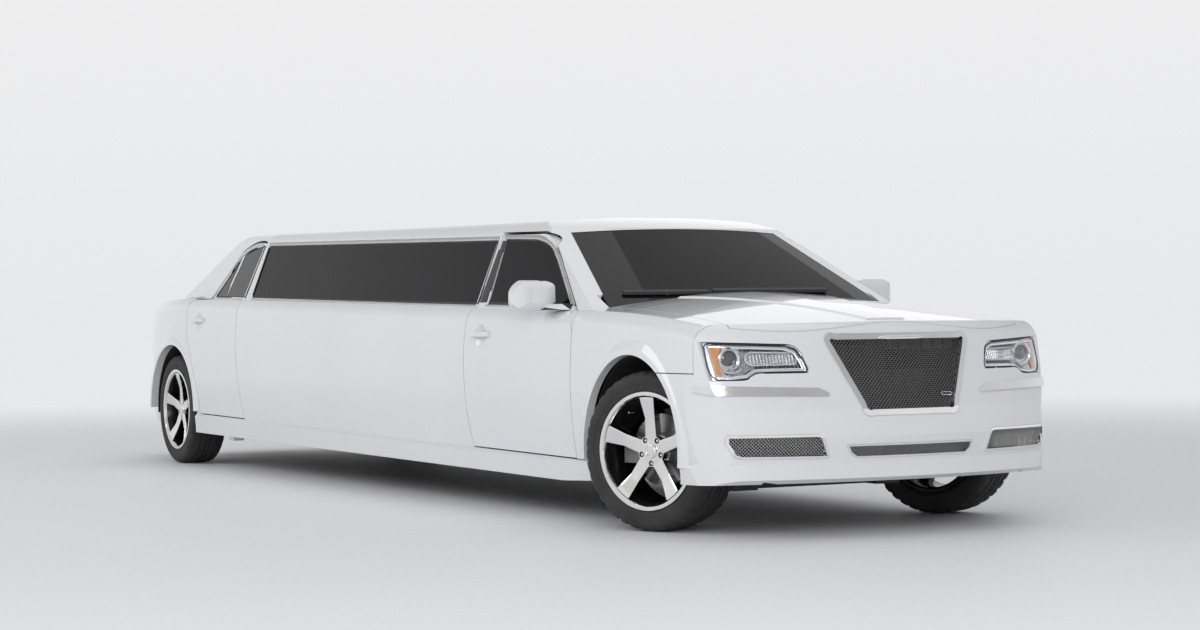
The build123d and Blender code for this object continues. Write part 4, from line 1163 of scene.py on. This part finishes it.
def nose_path(points, depth):
    """Points in the nose at a depth behind its skin, and the outward direction at each."""
    return [nose_point(y, z, depth) for y, z in points], [nose_normal(y, z) for y, z in points]


def make_lamp_guides(side, side_name):
    """Pale light guides round the projector and the long inner lamp, and that lamp's upright fins."""
    arc = []
    for part in range(GUIDE_PARTS + 1):
        angle = -GUIDE_HALF_TURN + 2 * GUIDE_HALF_TURN * part / GUIDE_PARTS
        arc.append((side * (PROJECTOR[0] + GUIDE_RADIUS * math.cos(angle)),
                    PROJECTOR[1] + GUIDE_RADIUS * math.sin(angle)))
    loop = [(side * y, z) for y, z in resample(rounded(INNER_LAMP, 0.012, True), 0.006, True)]
    bm = bmesh.new()
    sweep(bm, *nose_path(arc, MASK_DEPTH - 0.006), wire_profile(0.0034))
    sweep(bm, *nose_path(loop, MASK_DEPTH - 0.007), wire_profile(0.0036), True)
    finish_piece("light_guide_" + side_name, bm, light_guide, "body")
    bm = bmesh.new()
    for fin in range(FINS):
        y = FIN_SPAN[0] + (FIN_SPAN[1] - FIN_SPAN[0]) * fin / (FINS - 1)
        upright = [(side * y, z) for z in FIN_HEIGHTS]
        sweep(bm, *nose_path(upright, MASK_DEPTH - 0.002), flat_bar(0.0022, 0.0042, 0.002, 0.0006))
    finish_piece("inner_lamp_fins_" + side_name, bm, reflector, "body")


def make_lamp_louvres(side, side_name):
    """Dark teeth along the lamp's lower and upper inner edges."""
    bm = bmesh.new()
    for first_y, low, high, facing, lean, height in LOUVRE_ROWS:
        for tooth in range(LOUVRES):
            y = first_y + LOUVRE_PITCH * tooth
            path = [nose_point(side * y, low, MASK_DEPTH - 0.001),
                    nose_point(side * (y + lean), high, MASK_DEPTH - 0.001)]
            sweep(bm, path, [nose_normal(side * y, facing)] * 2, flat_bar(0.0105, height, 0.002, 0.002))
    finish_piece("headlight_louvres_" + side_name, bm, matt_black, "body")


def amber_place(tree, side):
    """Place function for the amber panel, which turns the lamp's outer corner."""
    across = Vector((-DIAGONAL, side * DIAGONAL, 0))
    inward = Vector((-DIAGONAL, -side * DIAGONAL, 0))

    def place(u, v):
        shift = AMBER_SPAN[0] + (AMBER_SPAN[1] - AMBER_SPAN[0]) * u + AMBER_LEAN * (v - 0.5)
        z = AMBER_HEIGHTS[0] + (AMBER_HEIGHTS[1] - AMBER_HEIGHTS[0]) * v
        corner = Vector((AMBER_CORNER[0], side * AMBER_CORNER[1], z))
        return ray_hit(tree, corner + across * shift - inward * 0.4, inward, -AMBER_DEPTH)

    return place


def make_headlights():
    tree = tree_of("headlight_lenses")
    for side_name, side in SIDES:
        def lens_hit(y, z, lift):
            return front_hit(tree, side * y, z, lift)

        make_lamp_mask(side, side_name)
        make_projector(side, side_name)
        make_lamp_guides(side, side_name)
        make_lamp_louvres(side, side_name)
        patch("amber_corner_" + side_name, amber_place(tree, side), 20, 16, 0.003, amber_lens, "body")
        edge = rounded(inset(LAMP_OUTLINE, 0.0022), 0.006, True)
        edge_bar = flat_bar(0.0044, 0.0010, 0.001, 0.0004)
        face_strip("headlight_edge_" + side_name, edge, edge_bar, lens_hit, 0.0, seal)
        bezel = rounded(inset(LAMP_OUTLINE, 0.0130), 0.008, True)
        bezel_bar = half_round(0.0150, 0.0040)
        face_strip("headlight_bezel_" + side_name, bezel, bezel_bar, lens_hit, -0.0125, reflector)


# Window trim: lines of (x, z) points on the car's side
DOOR_ARCH = ((1.550, 1.387), (1.954, 1.374), (2.105, 1.340), (2.240, 1.272), (2.608, 1.025))
REAR_ARCH = ((-1.875, 1.449), (-2.120, 1.445), (-2.342, 1.405), (-2.520, 1.285), (-2.655, 1.105))
LONG_TOP = ((1.500, 1.381), (-1.830, 1.444))
LONG_BELT = ((1.545, 1.032), (-1.725, 1.094))
DOOR_BELT = ((1.655, 1.032), (2.600, 1.018))
REAR_BELT = ((-1.845, 1.096), (-2.600, 1.104))
DOOR_GLASS = ((1.573, 1.374), (1.975, 1.356), (2.116, 1.322), (2.242, 1.253), (2.590, 1.030), (1.672, 1.045))
LONG_GLASS = ((1.490, 1.368), (1.557, 1.043), (-1.733, 1.104), (-1.829, 1.431))
REAR_GLASS = ((-1.902, 1.435), (-2.160, 1.424), (-2.327, 1.393), (-2.409, 1.354), (-2.577, 1.118),
              (-1.839, 1.108))
REAR_DIVIDER = ((-2.409, 1.354), (-2.331, 1.116))
FRONT_PANEL = ((1.530, 1.366), (1.575, 1.368), (1.668, 1.048), (1.574, 1.048))


def make_window_trim():
    for side_name, side in SIDES:
        body_tree = tree_of("body_side_" + side_name, "side_windows", "roof")
        front_tree = tree_of("front_door_" + side_name, "front_door_glass_" + side_name)
        rear_tree = tree_of("rear_door_" + side_name, "rear_door_glass_" + side_name)
        front_body = body_of_node["front_door_" + side_name]
        rear_body = body_of_node["rear_door_" + side_name]
        bright = (
            # name, line, width, height, target, body
            ("front_arch", rounded(DOOR_ARCH, 0.12), 0.026, 0.0045, front_tree, front_body),
            ("rear_arch", rounded(REAR_ARCH, 0.12), 0.024, 0.0045, rear_tree, rear_body),
            ("long_top", LONG_TOP, 0.024, 0.0045, body_tree, "body"),
            ("long_belt", LONG_BELT, 0.012, 0.0035, body_tree, "body"),
            ("front_belt", DOOR_BELT, 0.012, 0.0035, front_tree, front_body),
            ("rear_belt", REAR_BELT, 0.012, 0.0035, rear_tree, rear_body),
            ("front_divider", ((1.580, 1.358), (1.672, 1.052)), 0.007, 0.0030, front_tree, front_body),
        )
        for name, line, width, height, tree, body in bright:
            side_strip(f"{name}_trim_{side_name}", line, half_round(width, height), tree, side, stainless, body)
        seals = (
            ("front_glass", DOOR_GLASS, front_tree, front_body),
            ("long_glass", LONG_GLASS, body_tree, "body"),
            ("rear_glass", REAR_GLASS, rear_tree, rear_body),
        )
        for name, line, tree, body in seals:
            side_strip(f"{name}_seal_{side_name}", rounded(line, 0.02, True), half_round(0.011, 0.0024), tree,
                       side, seal, body, closed=True)
        side_strip("rear_divider_" + side_name, REAR_DIVIDER, half_round(0.016, 0.0026), rear_tree, side, seal,
                   rear_body)
        patch("front_pillar_cover_" + side_name, side_quad(front_tree, side, FRONT_PANEL, 0.0016), 4, 14, 0.0030,
              gloss_black, front_body)


# Badge places, mirrors, tail lamps
BADGE_BAR = ((-0.115, 0.868), (0.115, 0.868))
BADGE_PLATE = ((0.186, 0.6095), (0.181, 0.6155), (0.187, 0.6215), (0.236, 0.6215), (0.242, 0.6155),
               (0.237, 0.6095))
TAIL_OUTLINE = ((0.657, 0.764), (0.657, 0.998), (0.682, 1.010), (0.782, 1.010), (0.782, 0.727), (0.694, 0.727))
# Opposite corners as (distance from the middle plane, z), and for the marker as (x, z)
REVERSE_LAMP = ((0.667, 0.842), (0.773, 0.878))
REAR_REFLECTOR = ((0.56, 0.405), (0.74, 0.432))
SIDE_MARKER = ((-3.93, 0.600), (-3.83, 0.626))
TAIL_BARS = (0.835, 0.885)
TAIL_BAR_SPAN = (0.664, 0.776)
MESH_PLATE = ((0.184, 0.6095), (0.239, 0.6215))
# Where the mirror's finishes meet, as distances from the middle plane, x and z
MIRROR_GLASS_Y = (0.905, 1.095)
MIRROR_GLASS_Z = (1.02, 1.14)
MIRROR_GLASS_X = 2.384
MIRROR_FOOT_Y = 0.887
MIRROR_EDGE_Z = 1.012
MIRROR_FACING = -0.9
ENGINE_FRONT_X = 2.6


def make_badges():
    """Plain raised bar on the grille's top, and a plain plate on its mesh."""
    bm = bmesh.new()
    rings = sweep(bm, *nose_path(resample(BADGE_BAR, 0.01), -0.008), half_round(0.018, 0.005, 0.002))
    last = len(rings) - 1
    for index, ring in enumerate(rings):
        share = abs(2 * index / last - 1)
        narrow = math.sqrt(max(0.04, 1 - share ** 6))
        middle = sum((vertex.co for vertex in ring), Vector()) / len(ring)
        for vertex in ring:
            vertex.co = middle + (vertex.co - middle) * narrow
    finish_piece("grille_bar_pad", bm, chrome, "body")
    bm = bmesh.new()
    sweep(bm, *nose_path(resample(BADGE_PLATE, 0.006, True), 0.010), wire_profile(0.0017), True)
    finish_piece("mesh_plate_edge", bm, chrome, "body")

    def nose_hit(y, z, depth):
        return nose_point(y, z, depth), nose_normal(y, z)

    patch("mesh_plate", flat_place(nose_hit, *MESH_PLATE, 0.0105), 12, 3, 0.002, matt_black, "body")


def dress_mirrors():
    """Black foot and lower edge, silvered glass, painted shell."""
    for side_name, side in SIDES:
        def choose(polygon):
            centre = polygon.center
            y = centre.y * side
            faces_back = polygon.normal.x < MIRROR_FACING and centre.x > MIRROR_GLASS_X
            in_height = MIRROR_GLASS_Z[0] < centre.z < MIRROR_GLASS_Z[1]
            if faces_back and in_height and MIRROR_GLASS_Y[0] < y < MIRROR_GLASS_Y[1]:
                return 2
            if y < MIRROR_FOOT_Y or centre.z < MIRROR_EDGE_Z:
                return 1
            return 0

        paint_faces("mirror_" + side_name, (paint, gloss_black, mirror_glass), choose)


def dress_engine():
    """Dark front of the engine, as it shows through the grille."""
    paint_faces("powertrain", (cast_metal, frame_black), lambda polygon: int(polygon.center.x > ENGINE_FRONT_X))


def make_tail_lamps():
    """Bezels, bars and reversing lamps on the tail lamps, and the red reflectors of the rear fascia."""
    tree = tree_of("taillights")
    fascia_tree = tree_of("rear_fascia")
    for side_name, side in SIDES:
        def lamp_hit(y, z, lift):
            return back_hit(tree, side * y, z, lift)

        def fascia_hit(y, z, lift):
            return back_hit(fascia_tree, side * y, z, lift)

        def flank_hit(x, z, lift):
            return side_hit(fascia_tree, x, z, side, lift)

        edge = rounded(inset(TAIL_OUTLINE, 0.006), 0.01, True)
        bezel_bar = half_round(0.008, 0.003)
        face_strip("tail_lamp_bezel_" + side_name, edge, bezel_bar, lamp_hit, 0.0, chrome)
        for number, height in enumerate(TAIL_BARS):
            line = [(y, height) for y in TAIL_BAR_SPAN]
            face_strip(f"tail_lamp_bar_{number}_{side_name}", line, half_round(0.005, 0.002), lamp_hit, 0.0,
                       chrome, closed=False)
        patch("reverse_lamp_" + side_name, flat_place(lamp_hit, *REVERSE_LAMP, 0.0012), 12, 6, 0.003,
              light_guide, "body")
        patch("rear_reflector_" + side_name, flat_place(fascia_hit, *REAR_REFLECTOR, 0.0015), 20, 4, 0.004,
              red_lens, "body")
        patch("side_marker_" + side_name, flat_place(flank_hit, *SIDE_MARKER, 0.0015), 10, 3, 0.004,
              red_lens, "body")


# Seats
def pad_frame(middle, lean=None, inward=False):
    """Placing matrix of a pad that lies flat, leans back or faces across the car."""
    if inward:
        axes = Matrix(((1, 0, 0), (0, 0, 1), (0, 1, 0)))
    elif lean is not None:
        axes = Matrix(((-math.sin(lean), 0, math.cos(lean)), (0, 1, 0), (math.cos(lean), 0, math.sin(lean))))
    else:
        axes = Matrix.Identity(3)
    return Matrix.Translation(Vector(middle)) @ axes.to_4x4()


def make_pad(name, half, matrix, long_channels, cross_channels, crown=0.012, radius=0.034):
    """Crowned leather pad with pulled-in sides, sewn channels and a piped edge."""
    a, b, c = half
    radius = min(radius, c * 0.9)
    counts = (max(10, int(a / 0.012)), max(10, int(b / 0.012)), max(6, int(c / 0.010)))
    bm = bmesh.new()
    corners = {}

    def vertex_at(key):
        if key in corners:
            return corners[key]
        spot = Vector([half[axis] * (2 * key[axis] / counts[axis] - 1) for axis in range(3)])
        limits = [size - radius for size in half]
        core = Vector([max(-limits[axis], min(limits[axis], spot[axis])) for axis in range(3)])
        away = spot - core
        point = core + away.normalized() * radius if away.length > 1e-6 else spot
        u = point.x / a
        v = point.y / b
        swell = (1 - u * u) * (1 - v * v)
        pull = PAD_PULL * (1 - swell)
        if point.z > 0:
            rise = crown * max(swell, 0) ** 0.5 * 0.5
            for place in long_channels:
                rise -= CHANNEL_DEPTH * math.exp(-((point.y - place) / CHANNEL_WIDTH) ** 2)
            for place in cross_channels:
                rise -= CHANNEL_DEPTH * math.exp(-((point.x - place) / CHANNEL_WIDTH) ** 2)
            point.z += (rise - crown * 0.5) * point.z / c
        point.x -= math.copysign(pull * (1 - v * v), point.x) * (abs(u) > 0.85)
        point.y -= math.copysign(pull * (1 - u * u), point.y) * (abs(v) > 0.85)
        corners[key] = bm.verts.new(point)
        return corners[key]

    for axis in range(3):
        first, second = [other for other in range(3) if other != axis]
        for end in (0, counts[axis]):
            for i in range(counts[first]):
                for j in range(counts[second]):
                    loop = []
                    for di, dj in ((0, 0), (1, 0), (1, 1), (0, 1)):
                        key = [0, 0, 0]
                        key[axis] = end
                        key[first] = i + di
                        key[second] = j + dj
                        loop.append(vertex_at(tuple(key)))
                    bm.faces.new(loop)
    bm.transform(matrix)
    piece = finish_piece(name, bm, leather, "body", 60)
    bm = bmesh.new()
    height = c - radius * 0.35 - crown * 0.5
    rim = rounded([(-a, -b), (a, -b), (a, b), (-a, b)], radius, True)
    path = [Vector((x * (1 - 0.012 / a), y * (1 - 0.012 / b), height)) for x, y in resample(rim, 0.02, True)]
    sweep(bm, path, [Vector((0, 0, 1))] * len(path), wire_profile(PIPING_RADIUS), True)
    bm.transform(matrix)
    finish_piece(name + "_piping", bm, leather, "body", 60)
    return piece


LEAN = math.radians(12.6)
BENCH_CHANNELS = (-0.85, -0.42, 0.0, 0.42, 0.85)
PADS = (
    # name, half sizes, middle, placing, channels along, channels across
    ("seat_cushion", (0.275, 0.245, 0.062), (1.680, 0.445, 0.480), "flat", (-0.15, 0.15), (-0.09, 0.03, 0.15)),
    ("seat_back", (0.205, 0.245, 0.050), (1.437, 0.445, 0.690), "lean", (-0.15, 0.15), (-0.12, -0.02, 0.08)),
    ("seat_headrest", (0.062, 0.125, 0.040), (1.374, 0.445, 0.962), "lean", (), ()),
)
REAR_PADS = (
    ("rear_cushion", (0.225, 0.590, 0.060), (-2.120, 0, 0.498), "flat", (-0.2, 0.2), (-0.06, 0.06)),
    ("rear_back", (0.205, 0.590, 0.046), (-2.343, 0, 0.700), "lean", (-0.2, 0.2), (-0.08, 0.05)),
    ("rear_headrest_left", (0.052, 0.120, 0.036), (-2.405, 0.38, 0.972), "lean", (), ()),
    ("rear_headrest_right", (0.052, 0.120, 0.036), (-2.405, -0.38, 0.972), "lean", (), ()),
    ("bench_cushion", (1.268, 0.150, 0.050), (-0.375, -0.488, 0.508), "flat", (), BENCH_CHANNELS),
    ("bench_back", (1.268, 0.190, 0.048), (-0.375, -0.692, 0.765), "inward", (), BENCH_CHANNELS),
)
SIDE_PLINTHS = (
    # name, outline as (x, z), nearest and furthest distance from the middle plane
    ("seat_base", ((1.935, 0.318), (1.915, 0.425), (1.415, 0.425), (1.410, 0.318)), 0.215, 0.675),
    ("rear_seat_base", ((-1.905, 0.333), (-1.920, 0.440), (-2.370, 0.440), (-2.370, 0.333)), 0.20, 0.59),
)
BENCH_PLINTH = ("bench_base", ((0.880, 0.333), (0.860, 0.458), (-1.610, 0.458), (-1.630, 0.333)),
                -0.700, -0.350)
PAD_PULL = 0.006
CHANNEL_DEPTH = 0.007
CHANNEL_WIDTH = 0.006
PIPING_RADIUS = 0.0030


def make_plinth(name, outline, low_y, high_y):
    """Hard base under a cushion."""
    bm = bmesh.new()
    near = [bm.verts.new((x, low_y, z)) for x, z in outline]
    far = [bm.verts.new((x, high_y, z)) for x, z in outline]
    count = len(outline)
    for index in range(count):
        after = (index + 1) % count
        bm.faces.new((near[index], near[after], far[after], far[index]))
    bm.faces.new(near)
    bm.faces.new(list(reversed(far)))
    finish_piece(name, bm, matt_black, "body", 30, bevel=0.012, segments=3)


def make_seats():
    pads = list(REAR_PADS)
    plinths = [BENCH_PLINTH]
    for side_name, side in SIDES:
        for name, half, (x, y, z), placing, along, across in PADS:
            pads.append((f"{name}_{side_name}", half, (x, side * y, z), placing, along, across))
        for name, outline, near, far in SIDE_PLINTHS:
            plinths.append((f"{name}_{side_name}", outline, min(side * near, side * far),
                            max(side * near, side * far)))
    for name, half, middle, placing, along, across in pads:
        matrix = pad_frame(middle, LEAN if placing == "lean" else None, placing == "inward")
        piece = make_pad(name, half, matrix, along, across)
        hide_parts("seats")
    for plinth in plinths:
        make_plinth(*plinth)


def main():
    scene.view_settings.view_transform = "Standard"
    make_camera()
    make_stage()
    make_world()
    make_lamps()
    dress_nodes()
    make_wheels()
    dress_grilles()
    make_headlights()
    make_window_trim()
    make_badges()
    dress_mirrors()
    dress_engine()
    make_tail_lamps()
    make_seats()


main()
